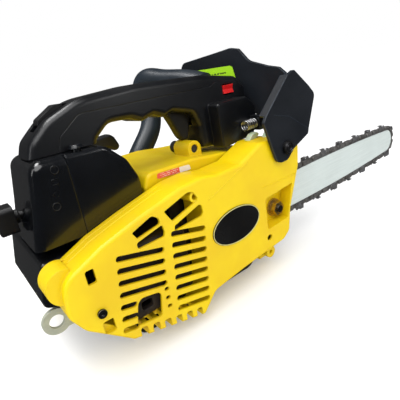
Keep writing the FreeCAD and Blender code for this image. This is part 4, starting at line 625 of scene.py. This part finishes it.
limeLabel = {"along": "Y", "up": "Z", "rows": 3.0, "printScale": 420.0, "from": 0.2, "to": 0.8, "below": 0.62,
             "bandFrom": 2.0, "paper": (0.42, 0.83, 0.012), "bandColor": (0.4, 0.8, 0.01),
             "inkColor": (0.03, 0.06, 0.01), "faded": (0.55, 0.9, 0.08)}
redLabel = {"along": "X", "up": "Z", "rows": 4.0, "printScale": 500.0, "from": 0.1, "to": 0.62, "below": 0.9,
            "bandFrom": 0.66, "paper": (0.75, 0.07, 0.04), "bandColor": (0.82, 0.8, 0.78),
            "inkColor": (0.85, 0.7, 0.66), "faded": (0.85, 0.3, 0.2)}


guardLabel = {"corners": [(110, 57, 199), (110, -13, 199), (110, -9, 213.5), (110, 54, 214.5)],
              "toward": (1, 0, 0), "lift": 0.00025}
shroudLabel = {"corners": [(-14, -60, 134.0), (22, -60, 132.0), (21, -60, 137.0), (-13, -60, 138.5)],
               "toward": (0, 1, 0), "lift": 0.0002}


def addLabels():
    patchOn("guardLabel", "hand_guard", guardLabel["corners"], guardLabel["toward"], guardLabel["lift"],
            printedLabel("limeLabel", limeLabel), "guard")
    patchOn("shroudLabel", "top_shroud", shroudLabel["corners"], shroudLabel["toward"], shroudLabel["lift"],
            printedLabel("redLabel", redLabel), "machine")


def circleAt(x, face, z, radius, steps):
    turns = [2 * math.pi * step / steps for step in range(steps)]
    return [Vector(inMetres(x + radius * math.cos(turn), face, z + radius * math.sin(turn)))
            for turn in turns]


badge = {"middle": (38.5, 78.5), "long": 28.9, "short": 16.4, "face": -76.45, "rim": 0.42, "steps": 72}

badgeEdge = {"color": (0.62, 0.58, 0.22), "shade": (0.55, 0.5, 0.2), "grain": 800.0,
             "rough": 0.3, "bump": 0.05}


def addBadgeRim():
    points = []
    for step in range(badge["steps"]):
        angle = 2 * math.pi * step / badge["steps"]
        points.append(Vector(inMetres(badge["middle"][0] + badge["long"] * math.cos(angle), badge["face"],
                                      badge["middle"][1] + badge["short"] * math.sin(angle))))
    pale = plasticMaterial("badgeEdge", badgeEdge)
    tubeAlong("badgeRim", points, badge["rim"] / 1000, pale, "machine", closed=True)


guardWing = {"rear": (96.0, 165.5), "bend": (118.0, 160.0), "front": (146.4, 143.0), "from": -84,
             "bead": 0.0004, "sink": 0.00015}
guardBolt = {"middle": (111, 132), "face": -83.5, "steps": 40,
             "rings": [("pivotRing", 5.0, 0.00055), ("pivotSocketRim", 2.7, 0.0004)]}


def addGuardDetails():
    # the crease beads are real raised lines, and their slightly lighter tube finish is a painted highlight
    # along the wing's crease
    for name, first, last in (("wingCreaseRear", "rear", "bend"), ("wingCreaseFront", "bend", "front")):
        start, end = [(guardWing[key][0], guardWing["from"], guardWing[key][1]) for key in (first, last)]
        beadOn(name, "hand_guard", start, end, (0, 1, 0), guardWing["bead"], guardWing["sink"],
               finishes["tube_black"], "guard")
    x, z = guardBolt["middle"]
    for name, radius, thick in guardBolt["rings"]:
        points = circleAt(x, guardBolt["face"], z, radius, guardBolt["steps"])
        tubeAlong(name, points, thick, finishes["steel_dark"], "machine", closed=True)


# pale greenish-white look for the blocks on the cover top by the guard: a painted highlight where light blows
# out on upward faces, not a real part
paintedHighlightLook = {"color": (0.52, 0.58, 0.42), "shade": (0.46, 0.53, 0.36), "rubbed": (0.7, 0.75, 0.6), "grain": 900.0,
         "rough": 0.35, "bump": 0.08, "glow": 0.25}


paintedHighlightBlocks = {
    # name: side outline in x and z, then its span in y
    "rearHighlightBlock": ([(84.5, 142.6), (96.0, 143.2), (100.5, 146.8), (97.5, 149.6), (91.5, 148.6)],
                 (-56.5, -49.5)),
    "frontHighlightBlock": ([(101.0, 142.8), (113.0, 141.0), (114.0, 150.5), (110.0, 152.0)], (-63.0, -57.5)),
}


# each block is a bevelled pale solid that stands as a painted highlight on the cover top
def addPaintedHighlightBlocks():
    pale = plasticMaterial("paintedHighlightPale", paintedHighlightLook)
    for name, (outline, span) in paintedHighlightBlocks.items():
        softBlock(name, outline, span, pale, "machine")


coverBeads = [
    # name, start, end, towards, radius, sink, points
    ("rearRimInner", (-108, -50, 150), (-15, -50, 170), (0, 0, -1), 0.0007, 0.00035, 60),
    ("rearRimOuter", (-106, -57, 150), (-20, -57, 170), (0, 0, -1), 0.0007, 0.00035, 60),
    ("faceRidge", (60, -90, 130.5), (10.5, -90, 112.5), (0, 1, 0), 0.0008, 0.0004, 30),
    ("wellShelf", (77, -90, 101.0), (128, -90, 100.0), (0, 1, 0), 0.0008, 0.0004, 30),
]


def addRims():
    for name, start, end, toward, radius, sink, count in coverBeads:
        beadOn(name, "clutch_cover", start, end, toward, radius, sink, finishes["plastic_yellow"],
               "machine", count)


pictograms = {
    # middle in x and z, number of sides
    "shapes": [(-91.5, 165.5, 28), (-93.5, 157.5, 4), (-95.5, 149.0, 3), (-97.5, 140.5, 28)],
    "radius": 2.7, "from": -70, "reach": 0.1, "sink": 0.0001, "bead": 0.00035,
}


def addPictograms():
    # plain raised shapes down the rear housing: ring, square, triangle and ring
    tree = surfaceOf("air_filter_cover")
    for index, (x, z, count) in enumerate(pictograms["shapes"]):
        points = []
        for step in range(count):
            angle = 2 * math.pi * (step + 0.5) / count
            place = Vector(inMetres(x + pictograms["radius"] * math.cos(angle), pictograms["from"],
                                    z + pictograms["radius"] * math.sin(angle)))
            hit = tree.ray_cast(place, Vector((0, 1, 0)), pictograms["reach"])
            if hit[0] is not None:
                points.append(hit[0] + Vector((0, pictograms["sink"], 0)))
        if len(points) == count:
            tubeAlong("pictogram%d" % index, points, pictograms["bead"], finishes["plastic_satin_black"],
                      "filter_cover", closed=True, sides=6)


addLabels()
addBadgeRim()
addGuardDetails()
# pale blocks painted as a highlight on the cover top
addPaintedHighlightBlocks()
addRims()
addPictograms()
# the stops counted here are the pale painted-highlight blocks
print("labels, rims and painted_highlight_blocks placed")
